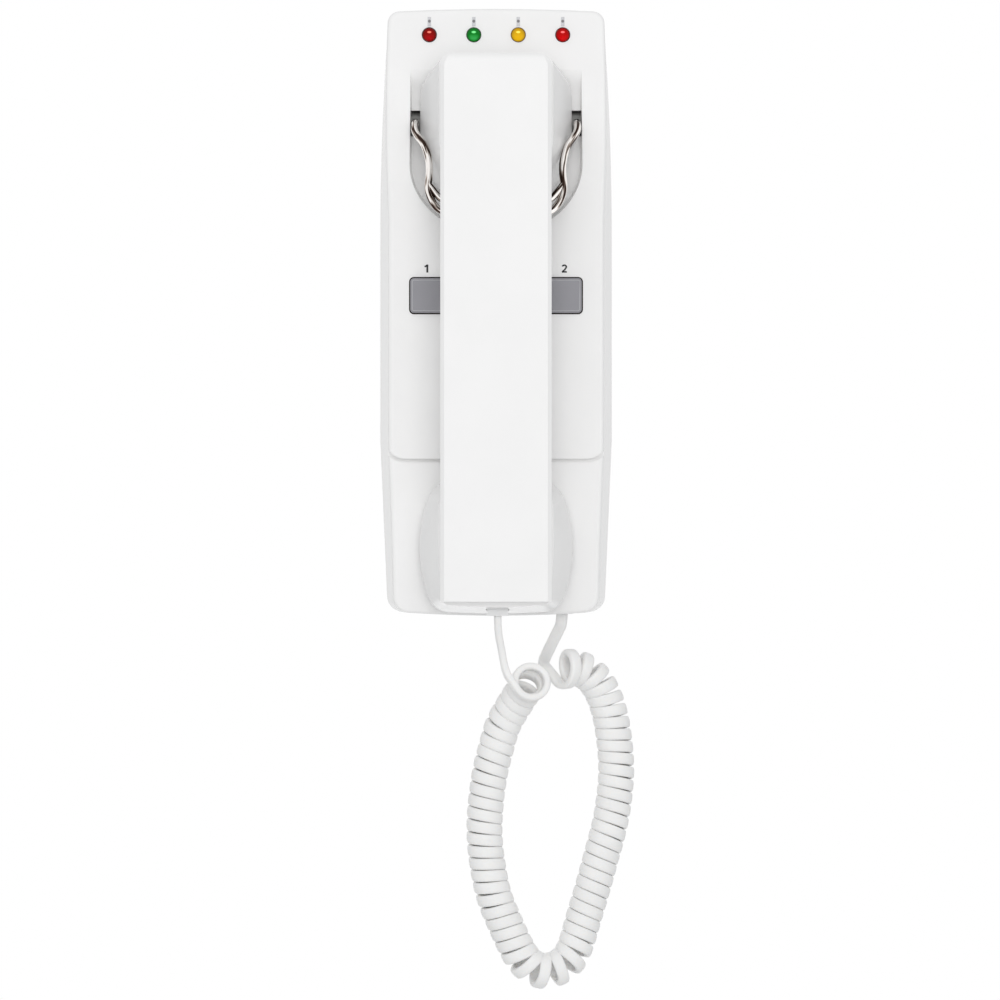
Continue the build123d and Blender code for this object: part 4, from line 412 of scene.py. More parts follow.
@dataclass(frozen=True)
class CordJacket:
    """Soft white cord jacket with a satin skin and faint lines from its extrusion."""

    name: str
    colour: Colour
    shade: Colour
    roughness: float = 0.38
    roughness_spread: float = 0.08
    cloud_scale: float = 120.0
    shade_share: float = 0.3
    full_share: float = 0.7
    fine_scale: float = 1800.0
    fine_height: float = 0.02 * MM
    fine_strength: float = 0.6
    depth_weight: float = 0.12
    depth_reach: Place = (4.0 * MM, 3.5 * MM, 3.0 * MM)
    depth_scale: float = 0.6

    def material(self) -> bpy.types.Material:
        """Returns the finish as a material."""
        graph = Graph.of_material(self.name)
        cloud = graph.noise(self.cloud_scale)
        fine = graph.noise(self.fine_scale)
        stops = ((self.shade_share, self.shade), (self.full_share, self.colour))
        return graph.surface({
            "Base Color": graph.ramp(cloud, stops),
            "Roughness": self.roughness + fine * self.roughness_spread,
            "Normal": graph.bump(fine, self.fine_height, self.fine_strength),
            "Subsurface Weight": self.depth_weight,
            "Subsurface Radius": self.depth_reach,
            "Subsurface Scale": self.depth_scale,
        })


@dataclass(frozen=True)
class Ink:
    """Printed ink, a little uneven."""

    name: str
    colour: Colour
    pale: Colour
    cloud_scale: float = 1500.0
    full_share: float = 0.4
    pale_share: float = 0.8
    roughness: float = 0.45
    roughness_spread: float = 0.1

    def material(self) -> bpy.types.Material:
        """Returns the finish as a material."""
        graph = Graph.of_material(self.name)
        cloud = graph.noise(self.cloud_scale)
        stops = ((self.full_share, self.colour), (self.pale_share, self.pale))
        return graph.surface({
            "Base Color": graph.ramp(cloud, stops),
            "Roughness": self.roughness + cloud * self.roughness_spread,
        })


SHELL_WHITE = MouldedPlastic("shell_white", (0.91, 0.905, 0.90), 0.24)
PLATE_WHITE = MouldedPlastic("plate_white", (0.80, 0.79, 0.78), 0.42, grain_share=0.1)
PLUG_CLEAR = MouldedPlastic("plug_white", (0.80, 0.80, 0.80), 0.16, grain_share=0.01)
BUTTON_GREY = MouldedPlastic("button_grey", (0.295, 0.292, 0.315), 0.34, tone_share=0.94)
# A painted highlight: the light grey of the thin piece along each button's bevel.
BUTTON_EDGE_HIGHLIGHT = MouldedPlastic("button_edge_highlight", (0.50, 0.50, 0.52), 0.3, tone_share=0.94)
NYLON = MouldedPlastic("rocker_plastic", (0.72, 0.72, 0.70), 0.5, grain_share=0.1)
BOARD_GREEN = MouldedPlastic("board_green", (0.03, 0.20, 0.08), 0.3, tone_share=0.8)
COMPONENT_BLACK = MouldedPlastic("component_black", (0.03, 0.03, 0.032), 0.45, tone_share=0.7)
TERMINAL_GREY = MouldedPlastic("terminal_grey", (0.36, 0.37, 0.38), 0.45, tone_share=0.9)
WIRE_JACKET = MouldedPlastic("ribbon_grey", (0.48, 0.48, 0.49), 0.45, tone_share=0.9)
BOOT_RUBBER = MouldedPlastic("boot_rubber", (0.03, 0.03, 0.03), 0.7, grain_share=0.2)
SCREW_STEEL = PlatedMetal("screw_steel", (0.68, 0.68, 0.69), (0.5, 0.5, 0.51), 0.25)
# The hook's chrome, with painted reflections as dark streaks in its colour.
HOOK_CHROME = ChromeWithPaintedReflections(
    "hook_chrome", (0.90, 0.87, 0.84), (0.40, 0.34, 0.30), (0.035, 0.02, 0.015), "wire_place"
)
CORD_WHITE = CordJacket("cord_white", (0.90, 0.895, 0.885), (0.87, 0.865, 0.855))
DARK_INK = Ink("dark_ink", (0.018, 0.018, 0.02), (0.03, 0.03, 0.03))
# Over each light, a pale stroke and a dark dot that are partly a printed mark and partly a painted
# reflection in the glossy brow.
PALE_MARK_AND_REFLECTION = Ink("pale_mark_and_reflection", (0.60, 0.60, 0.62), (0.68, 0.68, 0.70))
DOT_MARK_AND_REFLECTION = Ink("dot_mark_and_reflection", (0.20, 0.195, 0.20), (0.28, 0.27, 0.28))
# Painted shade: a dark piece laid in the gap round each light and each push button, where only shade
# falls.
GAP_SHADE_DARK = MouldedPlastic("gap_shade_dark", (0.02, 0.012, 0.01), 0.5, tone_share=0.7, gloss_level=0.1)
# Each light's colours: painted edge shade, its own tint, a brighter painted glow and a painted highlight.
LENSES = (
    LampLens(
        "light_dark_red",
        (0.035, 0.002, 0.002),
        (0.21, 0.002, 0.001),
        (0.42, 0.004, 0.008),
        (0.75, 0.20, 0.14),
    ),
    LampLens(
        "light_green",
        (0.006, 0.060, 0.012),
        (0.002, 0.165, 0.012),
        (0.05, 0.46, 0.10),
        (0.20, 0.75, 0.26),
    ),
    LampLens(
        "light_amber",
        (0.17, 0.085, 0.008),
        (0.60, 0.34, 0.007),
        (0.82, 0.46, 0.006),
        (0.85, 0.75, 0.12),
    ),
    LampLens(
        "light_red",
        (0.07, 0.001, 0.001),
        (0.38, 0.001, 0.001),
        (0.64, 0.003, 0.005),
        (0.85, 0.17, 0.17),
    ),
)

DRESSING = {
    SHELL_WHITE: ("front_cover", "handset_front_shell", "handset_back_shell", "ear_cap", "mouth_cap"),
    PLATE_WHITE: ("back_plate",),
    PLUG_CLEAR: ("handset_plug", "base_plug"),
    BUTTON_GREY: ("push_button_1", "push_button_2"),
    NYLON: ("hook_rocker", "hook_bush_1", "hook_bush_2"),
    BOARD_GREEN: ("main_board", "indicator_board"),
    COMPONENT_BLACK: (
        "call_buzzer",
        "hook_switch",
        "push_switch_1",
        "push_switch_2",
        "push_plunger_1",
        "push_plunger_2",
        "base_jack",
        "handset_jack",
        "microphone_capsule",
        "earpiece_capsule",
    ),
    TERMINAL_GREY: ("terminal_block",),
    WIRE_JACKET: ("ribbon_cable", "handset_wires"),
    BOOT_RUBBER: ("microphone_boot",),
    SCREW_STEEL: (
        "board_screws",
        "indicator_screws",
        "cover_screw",
        "hook_switch_screws",
        "handset_screws",
        "terminal_screws",
        "hook_spring",
        "ballast_weight",
    ),
}


# Surfaces


def grid_object(
    name: str,
    points: np.ndarray,
    finish: Any,
    weave: Weave = Weave.TUBE,
) -> bpy.types.Object:
    """Makes a mesh from a grid of points, rows by columns.

    Args:
        name: The piece's name.
        points: An array of rows by columns by three.
        finish: The finish of the piece.
        weave: Whether each row closes on itself, with a fan over both ends, or the grid stays a sheet.

    Returns:
        The object.
    """
    ring = weave is Weave.TUBE
    rows, columns = points.shape[:2]
    spans = columns if ring else columns - 1
    row, column = np.meshgrid(np.arange(rows - 1), np.arange(spans), indexing="ij")
    beside = (column + 1) % columns
    corners = (row * columns + column, row * columns + beside, (row + 1) * columns + beside)
    quads = np.stack([*corners, (row + 1) * columns + column], -1).reshape(-1, 4)
    faces: list[Sequence[int]] = quads.tolist()
    vertices = points.reshape(-1, 3)
    if ring:
        around = np.arange(columns)
        beyond = (around + 1) % columns
        first, last = rows * columns, rows * columns + 1
        vertices = np.vstack([vertices, points[0].mean(0), points[-1].mean(0)])
        faces += np.stack([np.full(columns, first), beyond, around], -1).tolist()
        final = (rows - 1) * columns
        faces += np.stack([np.full(columns, last), final + around, final + beyond], -1).tolist()
    mesh = bpy.data.meshes.new(name)
    mesh.from_pydata(vertices.tolist(), [], faces)
    mesh.polygons.foreach_set("use_smooth", np.ones(len(mesh.polygons), bool))
    mesh.materials.append(finish.material())
    mesh.update()
    made = bpy.data.objects.new(name, mesh)
    bpy.context.scene.collection.objects.link(made)
    LOG.info("%s: %d faces", name, len(mesh.polygons))
    return made


def spot(place: Place) -> np.ndarray:
    """Returns a place across, in front of the wall and up, in millimetres, as a point in metres."""
    across, depth, height = place
    return np.array([across, -depth, height]) * MM


def resampled(line: np.ndarray, count: int) -> tuple[np.ndarray, np.ndarray]:
    """Spreads points evenly along a line.

    Args:
        line: The line's points.
        count: How many points are wanted.

    Returns:
        The points and the distance of each along the line.
    """
    along = np.concatenate([[0.0], np.cumsum(np.linalg.norm(np.diff(line, axis=0), axis=1))])
    even = np.linspace(0.0, along[-1], count)
    return np.stack([np.interp(even, along, line[:, axis]) for axis in range(3)], 1), even


def smooth_route(points: Sequence[np.ndarray], resolution: int) -> np.ndarray:
    """Reads points along a smooth spline that starts and ends on the first and last control point."""
    curve = bpy.data.curves.new("route", "CURVE")
    curve.dimensions = "3D"
    curve.resolution_u = resolution
    spline = curve.splines.new("NURBS")
    spline.points.add(len(points) - 1)
    for control, point in zip(spline.points, points):
        control.co = (*point, 1.0)
    spline.order_u = 3
    spline.use_endpoint_u = True
    holder = bpy.data.objects.new("route", curve)
    bpy.context.scene.collection.objects.link(holder)
    read = bpy.data.meshes.new_from_object(holder)
    line = np.array([vertex.co for vertex in read.vertices], float)
    bpy.data.objects.remove(holder)
    bpy.data.curves.remove(curve)
    bpy.data.meshes.remove(read)
    return line


def unit(vectors: np.ndarray) -> np.ndarray:
    """Returns vectors at length one."""
    return vectors / np.linalg.norm(vectors, axis=-1, keepdims=True)


def store(piece: bpy.types.Object, name: str, values: np.ndarray) -> None:
    """Stores a number, or a place, for each of a mesh's points."""
    kind, key = ("FLOAT", "value") if values.ndim == 1 else ("FLOAT_VECTOR", "vector")
    stored = piece.data.attributes.new(name, kind, "POINT")
    stored.data.foreach_set(key, values.astype(np.float32).ravel())


# The cord


@dataclass
class CurlyCord:
    """The curly cord between the handset's plug and the base's plug."""

    width: float = 4.2 * MM
    thickness: float = 2.6 * MM
    squareness: float = 3.4
    curl_radius: float = 5.3 * MM
    turns: float = 55.43
    start_angle: float = 194.0
    end_flare: float = 1.2 * MM
    end_turns: float = 1.5
    bend_reach: float = 3.0 * MM
    smoothing: float = 5.0 * MM
    lead_run: float = 4.0 * MM
    lead: float = 3.2 * MM
    samples: int = 2400
    axis_fineness: int = 32
    tail_fineness: int = 16
    section_points: int = 18
    axis_places: tuple[Place, ...] = (
        (13, 50, -134.2),
        (12.1, 45.5, -135),
        (10.3, 40.9, -137.5),
        (7.3, 37.4, -142.5),
        (4.3, 35.5, -147.2),
        (1.9, 34.6, -152.1),
        (0.1, 33.9, -159),
        (-2.4, 34, -168.2),
        (-4.1, 34, -182.2),
        (-4.3, 34, -191.9),
        (-3.3, 34, -201.3),
        (-1, 34, -213.2),
        (2.4, 34, -221.2),
        (6, 34, -229.4),
        (10.4, 34, -237.8),
        (17.4, 34, -241.7),
        (25.6, 33.8, -238.2),
        (28.8, 33.5, -232.8),
        (31.9, 33.2, -221.4),
        (35.2, 33, -210.8),
        (38.5, 32.8, -198.4),
        (41.3, 32.5, -188.8),
        (43.1, 32.2, -179),
        (44.1, 32, -168.1),
        (43.5, 32, -158.1),
        (42.2, 32.3, -149.2),
        (40.4, 33, -142.4),
        (37.7, 34.1, -136.3),
        (33.8, 36.2, -131.7),
        (29.2, 38.5, -129.6),
        (24.4, 41.6, -130.1),
    )
    handset_places: tuple[Place, ...] = (
        (0.65, 44.5, -110.9),
        (0.65, 44.5, -116.4),
        (1.9, 46.2, -122.6),
    )
    base_places: tuple[Place, ...] = (
        (24.3, 9.0, -110.7),
        (24.3, 9.0, -114.1),
        (22.8, 10.6, -117.2),
        (19.6, 15.4, -123.4),
        (17, 24, -128.8),
    )

    def axis_line(self) -> tuple[np.ndarray, np.ndarray]:
        """Returns points evenly spaced along the axis of the curls and the distance of each along it."""
        route = smooth_route([spot(place) for place in self.axis_places], self.axis_fineness)
        line, even = resampled(route, self.samples)
        half = int(self.smoothing / 2 / even[1])
        steps = np.arange(1, half + 1)[:, None]
        lead = line[0] + (line[0] - line[1]) * steps[::-1]
        trail = line[-1] + (line[-1] - line[-2]) * steps
        kernel = np.ones(half * 2 + 1) / (half * 2 + 1)
        padded = np.vstack([lead, line, trail])
        return np.stack([np.convolve(padded[:, axis], kernel, "valid") for axis in range(3)], 1), even

    def curls(self) -> tuple[np.ndarray, np.ndarray]:
        """Returns the curled line and the direction out of the curls at each of its points.

        A point stands off the axis by the curl radius at an angle that goes one turn for each curl. The
        turns climb more where the axis bends, so that they fan out round it.
        """
        line, along = self.axis_line()
        ahead = unit(np.gradient(line, along, axis=0))
        bend = np.linalg.norm(np.gradient(ahead, along, axis=0), axis=1)
        half = int(self.smoothing / 2 / along[1])
        kernel = np.ones(half * 2 + 1) / (half * 2 + 1)
        bend = np.convolve(np.pad(bend, half, "edge"), kernel, "valid")
        rate = 1.0 - self.bend_reach * bend
        turns = np.concatenate([[0.0], np.cumsum((rate[1:] + rate[:-1]) / 2)])
        turns *= self.turns / turns[-1]
        deep = np.array([0.0, 1.0, 0.0]) - ahead * ahead[:, 1:2]
        deep = unit(deep)
        side = np.cross(ahead, deep)
        angle = np.radians(self.start_angle) - TURN * turns
        to_end = np.minimum(turns, turns[-1] - turns)
        flare = self.end_flare * np.clip(1 - to_end / self.end_turns, 0, 1) ** 2
        outward = np.cos(angle)[:, None] * deep + np.sin(angle)[:, None] * side
        return line + (self.curl_radius + flare)[:, None] * outward, outward

    def tail(self, places: Sequence[Place], end: np.ndarray, way: np.ndarray) -> np.ndarray:
        """Returns points along a free tail, from its plug to the curls.

        Args:
            places: The tail's route from the plug.
            end: The point where the curls start.
            way: The direction from the curls out into the tail.
        """
        lead_end = end + way * self.lead
        points = [spot(place) for place in places]
        points += [lead_end + way * self.lead_run, lead_end, end]
        return smooth_route(points, self.tail_fineness)

    def rings(self, line: np.ndarray, outward: np.ndarray) -> np.ndarray:
        """Returns a ring of points round each point of a line.

        A ring is a rounded flat section, cos and sin raised to a power below one, wide along the curls'
        axis and thin outwards.
        """
        ahead = unit(np.gradient(line, axis=0))
        thin = unit(outward - ahead * (outward * ahead).sum(1, keepdims=True))
        wide = np.cross(ahead, thin)
        angle = np.linspace(0, TURN, self.section_points, endpoint=False)
        power = 2 / self.squareness
        across = np.sign(np.cos(angle)) * np.abs(np.cos(angle)) ** power * self.width / 2
        out = np.sign(np.sin(angle)) * np.abs(np.sin(angle)) ** power * self.thickness / 2
        return line[:, None] + wide[:, None] * across[:, None] + thin[:, None] * out[:, None]

    def build(self) -> bpy.types.Object:
        """Returns the cord as one tube from the handset's plug by way of the curls to the base's."""
        curls, outward = self.curls()
        first_way = unit(curls[0] - curls[1])
        last_way = unit(curls[-1] - curls[-2])
        start_tail = self.tail(self.handset_places, curls[0], first_way)[:-1]
        end_tail = self.tail(self.base_places, curls[-1], last_way)[::-1][1:]
        line = np.vstack([start_tail, curls, end_tail])
        ahead = unit(np.gradient(line, axis=0))
        out = np.vstack([np.zeros_like(start_tail), outward, np.zeros_like(end_tail)])
        first, last = len(start_tail), len(start_tail) + len(curls) - 1
        for index in range(first - 1, -1, -1):
            out[index] = unit(out[index + 1] - ahead[index] * (out[index + 1] @ ahead[index]))
        for index in range(last + 1, len(line)):
            out[index] = unit(out[index - 1] - ahead[index] * (out[index - 1] @ ahead[index]))
        cord = grid_object("curly_cord", self.rings(line, out), CORD_WHITE)
        self.declare(cord, line)
        return cord

    def declare(self, cord: bpy.types.Object, line: np.ndarray) -> None:
        """Logs the cord's length, bakes its place into its mesh and hides the CAD cord's nodes; the
        stretch weights it works out are not stored.

        Args:
            cord: The cord's mesh.
            line: The middles of its rings.
        """
        along = np.concatenate([[0.0], np.cumsum(np.linalg.norm(np.diff(line, axis=0), axis=1))])
        LOG.info("cord length %.4f m", along[-1])
        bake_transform(cord)
        share = 1.0 - along / along[-1]
        stretch = np.repeat(share * share * (3 - 2 * share), self.section_points)
        stretch = np.concatenate([stretch, [1.0, 0.0]]).astype(np.float32)
        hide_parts("cord_curls", "cord_handset_tail", "cord_base_tail")


# The hook


@dataclass
class HookWire:
    """The bent wire that cradles the ear cup, and the strand that is welded across it."""

    radius: float = 1.34 * MM
    root_radius: float = 1.25 * MM
    root_run: float = 14.0 * MM
    section_points: int = 28
    fineness: int = 12
    side_places: tuple[Place, ...] = (
        (29.6, 8.25, 70),
        (29.6, 19, 70),
        (29.6, 26, 69.3),
        (29.9, 29.6, 67.2),
        (29.3, 31.4, 65),
        (27.5, 34.2, 62.5),
        (25.9, 37, 60),
        (24.8, 39.1, 56.7),
        (24.2, 40.4, 53.1),
        (24.3, 41.1, 49.1),
        (24.75, 41.5, 45.4),
        (24.4, 41.5, 42.6),
        (23.0, 41.5, 39.4),
        (20.9, 41.5, 36.9),
        (18.4, 41.5, 36.0),
        (8, 41.5, 36.0),
    )
    strand_places: tuple[Place, ...] = (
        (24.6, 41.5, 46.2),
        (23.6, 41.5, 44.9),
        (22.0, 41.5, 42.8),
        (20.4, 41.5, 41.0),
        (18.6, 41.5, 40.35),
        (8, 41.5, 40.35),
    )

    def tube(self, name: str, places: Sequence[Place]) -> bpy.types.Object:
        """Makes a round wire through places and their mirror images on the left.

        Args:
            name: The piece's name.
            places: The right half of the wire's route, towards the middle.

        Returns:
            The wire, with each point's place along it and round it stored.
        """
        mirrored = [(-across, depth, height) for across, depth, height in reversed(places)]
        line = smooth_route([spot(place) for place in (*places, *mirrored)], self.fineness)
        ahead = unit(np.gradient(line, axis=0))
        out = np.zeros_like(line)
        out[0] = unit(np.cross(ahead[0], [0.0, 0.0, 1.0]))
        for index in range(1, len(line)):
            out[index] = unit(out[index - 1] - ahead[index] * (out[index - 1] @ ahead[index]))
        beside = np.cross(ahead, out)
        along = np.concatenate([[0.0], np.cumsum(np.linalg.norm(np.diff(line, axis=0), axis=1))])
        to_end = np.minimum(along, along[-1] - along)
        radius = np.interp(to_end, (self.root_run / 2, self.root_run), (self.root_radius, self.radius))
        angle = np.linspace(0, TURN, self.section_points, endpoint=False)
        around = np.cos(angle)[:, None] * out[:, None] + np.sin(angle)[:, None] * beside[:, None]
        made = grid_object(name, line[:, None] + radius[:, None, None] * around, HOOK_CHROME)
        # Places along and round the wire, which lay out the painted reflections of its chrome.
        grid = np.broadcast_to(along[:, None], (len(line), self.section_points))
        over, beyond = np.cos(angle) * self.radius, np.sin(angle) * self.radius
        wire_places = np.stack([grid, over + 0 * grid, beyond + 0 * grid], -1)
        store(made, "wire_place", np.vstack([wire_places.reshape(-1, 3), np.zeros((2, 3))]))
        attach(made, "hook")
        return made

    def build(self) -> None:
        """Makes the wire and its strand."""
        wire = self.tube("hook_bent_wire", self.side_places)
        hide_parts("hook_wire")
        self.tube("hook_cross_strand", self.strand_places)


# The base's lights and marks


@dataclass
class IndicatorLights:
    """Four round lights in the base's brow, each a domed lens in a dark ring of painted shade in its gap.
    """

    height: float = 101.75 * MM
    pitch: float = 16.3 * MM
    lens_radius: float = 2.62 * MM
    brow_depth: float = 22.5 * MM
    rise: float = 1.8 * MM
    sink: float = 6.6 * MM
    ring_radius: float = 2.7 * MM
    ring_wire: float = 0.08 * MM
    ring_wire_points: int = 10
    steps: int = 48
    dome_steps: int = 22
    first_share: float = 0.02

    def lens(self, number: int, across: float) -> bpy.types.Object:
        """Makes a lens, a quarter ellipse turned round the light's axis with a straight stem behind.

        Args:
            number: The light's number from the left.
            across: Its place across.

        Returns:
            The lens.
        """
        share = np.linspace(self.first_share, 1.0, self.dome_steps)
        radius = np.concatenate([np.sin(share * np.pi / 2), [1.0]]) * self.lens_radius
        dome = np.concatenate([np.cos(share * np.pi / 2) * self.rise, [-self.sink]])
        depth = self.brow_depth + dome
        angle = np.linspace(0, TURN, self.steps, endpoint=False)
        points = np.stack([
            across + radius[:, None] * np.cos(angle),
            np.repeat(-depth[:, None], self.steps, 1),
            self.height + radius[:, None] * np.sin(angle),
        ], -1)
        lens = grid_object(f"light_lens_{number}", points, LENSES[number - 1])
        share = radius / self.lens_radius
        parts = {"lens_share": np.ones_like(angle), "lens_side": np.cos(angle), "lens_up": np.sin(angle)}
        for name, part in parts.items():
            shares = (share[:, None] * part).ravel()
            store(lens, name, np.concatenate([shares, [0.0, shares[-1]]]))
        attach(lens, "base")
        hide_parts(f"indicator_light_{number}")
        LENSES[number - 1].name
        return lens

    def ring(self, number: int, across: float) -> bpy.types.Object:
        """Makes the dark ring round a lens, painted shade in its gap, a small circle turned round the
        light's axis.
        """
        turn = np.linspace(0, TURN, self.steps + 1)[:, None]
        angle = np.linspace(0, TURN, self.ring_wire_points, endpoint=False)[None]
        radius = self.ring_radius + self.ring_wire * np.cos(angle)
        points = np.stack([
            across + radius * np.cos(turn),
            -(self.brow_depth + self.ring_wire * np.sin(angle)) + 0 * turn,
            self.height + radius * np.sin(turn),
        ], -1)
        ring = grid_object(f"light_gap_shade_{number}", points, GAP_SHADE_DARK)
        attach(ring, "base")
        return ring

    def build(self) -> None:
        """Makes the four lights."""
        for number in range(1, len(LENSES) + 1):
            across = (number - (len(LENSES) + 1) / 2) * self.pitch
            self.lens(number, across)
            self.ring(number, across)


@dataclass
class ButtonGapShadeAndHighlight:
    """Painted shade in the gap round each push button, as a dark piece, and a painted highlight where its
    bevel meets its face, as a thin light piece.
    """

    across: float = 25.0 * MM
    height: float = 6.0 * MM
    corner_steps: int = 8
    wire_points: int = 10
    # Where the dark piece of painted gap shade lies.
    gap_shade_depth: float = 26.9 * MM
    gap_shade_half: float = 6.62 * MM
    gap_shade_corner: float = 1.57 * MM
    gap_shade_wire: float = 0.24 * MM
    # Where the thin light piece of painted highlight lies.
    highlight_depth: float = 28.96 * MM
    highlight_half: float = 5.62 * MM
    highlight_corner: float = 0.7 * MM
    highlight_wire: float = 0.13 * MM

    def loop(self, across: float, depth: float, half: float, corner: float, wire: float) -> np.ndarray:
        """Returns a small circle carried round a square with round corners.

        Args:
            across: The square's middle.
            depth: How far in front of the wall it lies.
            half: Half the square's side.
            corner: The radius of its corners.
            wire: The small circle's radius.
        """
        quarter = np.linspace(0, TURN / 4, self.corner_steps)
        turn = np.concatenate([quarter + number * TURN / 4 for number in range(4)])
        turn = np.append(turn, TURN)[:, None]
        number = np.append(np.repeat(np.arange(4), self.corner_steps), 0)[:, None]
        middle_x = across + (half - corner) * np.where((number == 0) | (number == 3), 1.0, -1.0)
        middle_z = self.height + (half - corner) * np.where(number < 2, 1.0, -1.0)
        angle = np.linspace(0, TURN, self.wire_points, endpoint=False)[None]
        radius = corner + wire * np.cos(angle)
        return np.stack([
            middle_x + radius * np.cos(turn),
            -(depth + wire * np.sin(angle)) + 0 * turn,
            middle_z + radius * np.sin(turn),
        ], -1)

    def build(self) -> None:
        """Makes the painted gap shade and the painted highlight of each button."""
        for number, across in enumerate((-self.across, self.across), 1):
            # Painted shade in the gap round the button.
            gap_shade = self.loop(across, self.gap_shade_depth, self.gap_shade_half, self.gap_shade_corner, self.gap_shade_wire)
            made = grid_object(f"button_gap_shade_{number}", gap_shade, GAP_SHADE_DARK)
            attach(made, "base")
            # Painted highlight where the bevel meets the face.
            edge = self.loop(across, self.highlight_depth, self.highlight_half, self.highlight_corner, self.highlight_wire)
            made = grid_object(f"button_edge_highlight_{number}", edge, BUTTON_EDGE_HIGHLIGHT)
            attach(made, f"button_{number}")


@dataclass
class PrintedMarksAndReflections:
    """Plain digits over the push buttons, and a dark dot on a pale stroke over each light, partly a
    printed mark and partly a painted reflection in the glossy brow.
    """

    digit_width: float = 0.7 * MM
    digit_half: float = 1.46 * MM
    arc_width_share: float = 0.85
    thin_width_share: float = 0.8
    arc_from: float = 165.0
    arc_to: float = -35.0
    arc_steps: int = 24
    digit_z: float = 15.9 * MM
    one_across: float = -25.4 * MM
    two_across: float = 25.0 * MM
    panel_depth: float = 27.0 * MM
    brow_depth: float = 22.5 * MM
    lift: float = 0.03 * MM
    dot_radius: float = 0.6 * MM
    dot_z: float = 106.75 * MM
    dot_height: float = 0.08 * MM
    dot_rows: int = 6
    dot_columns: int = 24
    dot_top_share: float = 0.97
    stroke_z: tuple[float, float] = (104.8 * MM, 108.3 * MM)
    stroke_width: float = 1.3 * MM
    pitch: float = 16.3 * MM

    def stroke(
        self,
        name: str,
        line: np.ndarray,
        depth: float,
        width: float,
        finish: Ink,
    ) -> bpy.types.Object:
        """Makes one stroke of ink, a ribbon of even width along a line.

        Args:
            name: The piece's name.
            line: Places across and up, in order along the stroke.
            depth: How far in front of the wall it lies.
            width: Its width.
            finish: Its ink.

        Returns:
            The stroke.
        """
        way = unit(np.gradient(line, axis=0))
        side = np.stack([-way[:, 1], way[:, 0]], 1) * width / 2
        left, right = line + side, line - side
        flat = np.stack([right, left], 1)
        points = np.stack([flat[..., 0], np.full(flat.shape[:2], -depth - self.lift), flat[..., 1]], -1)
        made = grid_object(name, points, finish, Weave.SHEET)
        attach(made, "base")
        return made

    def one(self) -> None:
        """Makes the digit one from an upright stroke and a flag."""
        half = self.digit_half
        middle = np.array([self.one_across, self.digit_z])
        upright = middle + np.array([(0.18, -1.0), (0.18, 0.0), (0.18, 1.0)]) * half
        flag = middle + np.array([(0.18, 0.86), (-0.16, 0.62), (-0.5, 0.46)]) * half
        self.stroke("digit_one_upright", upright, self.panel_depth, self.digit_width, DARK_INK)
        thin = self.digit_width * self.thin_width_share
        self.stroke("digit_one_flag", flag, self.panel_depth, thin, DARK_INK)

    def two(self) -> None:
        """Makes the digit two from an arc that runs down into a slope, and a foot."""
        half = self.digit_half
        middle = np.array([self.two_across, self.digit_z])
        angle = np.radians(np.linspace(self.arc_from, self.arc_to, self.arc_steps))
        arc = np.stack([0.5 * np.cos(angle), 0.42 + 0.42 * np.sin(angle)], 1)
        slope = np.array([(0.1, -0.28), (-0.3, -0.62), (-0.52, -0.86)])
        foot = np.array([(-0.62, -0.84), (0.0, -0.84), (0.62, -0.84)])
        bowed = middle + np.vstack([arc, slope]) * half
        arc_width = self.digit_width * self.arc_width_share
        thin = self.digit_width * self.thin_width_share
        self.stroke("digit_two_arc", bowed, self.panel_depth, arc_width, DARK_INK)
        self.stroke("digit_two_foot", middle + foot * half, self.panel_depth, thin, DARK_INK)

    def mark(self, number: int, across: float) -> None:
        """Makes the pale stroke over a light and the dark dot on it, a low dome; both are partly a
        printed mark and partly a painted reflection.

        Args:
            number: The light's number from the left.
            across: Its place across.
        """
        low, top = self.stroke_z
        line = np.array([(across, low), (across, (low + top) / 2), (across, top)])
        self.stroke(f"light_stroke_{number}", line, self.brow_depth, self.stroke_width, PALE_MARK_AND_REFLECTION)
        rise = np.linspace(0, self.dot_top_share, self.dot_rows) * TURN / 4
        turn = np.linspace(0, TURN, self.dot_columns, endpoint=False)
        radius = self.dot_radius * np.cos(rise)[:, None]
        depth = self.brow_depth + self.dot_height * np.sin(rise)
        points = np.stack([
            across + radius * np.cos(turn),
            np.repeat(-depth[:, None], len(turn), 1),
            self.dot_z + radius * np.sin(turn),
        ], -1)
        dot = grid_object(f"light_dot_{number}", points[::-1], DOT_MARK_AND_REFLECTION)
        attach(dot, "base")

    def build(self) -> None:
        """Makes the digits and the marks."""
        self.one()
        self.two()
        for number in range(1, len(LENSES) + 1):
            self.mark(number, (number - (len(LENSES) + 1) / 2) * self.pitch)


# The stage


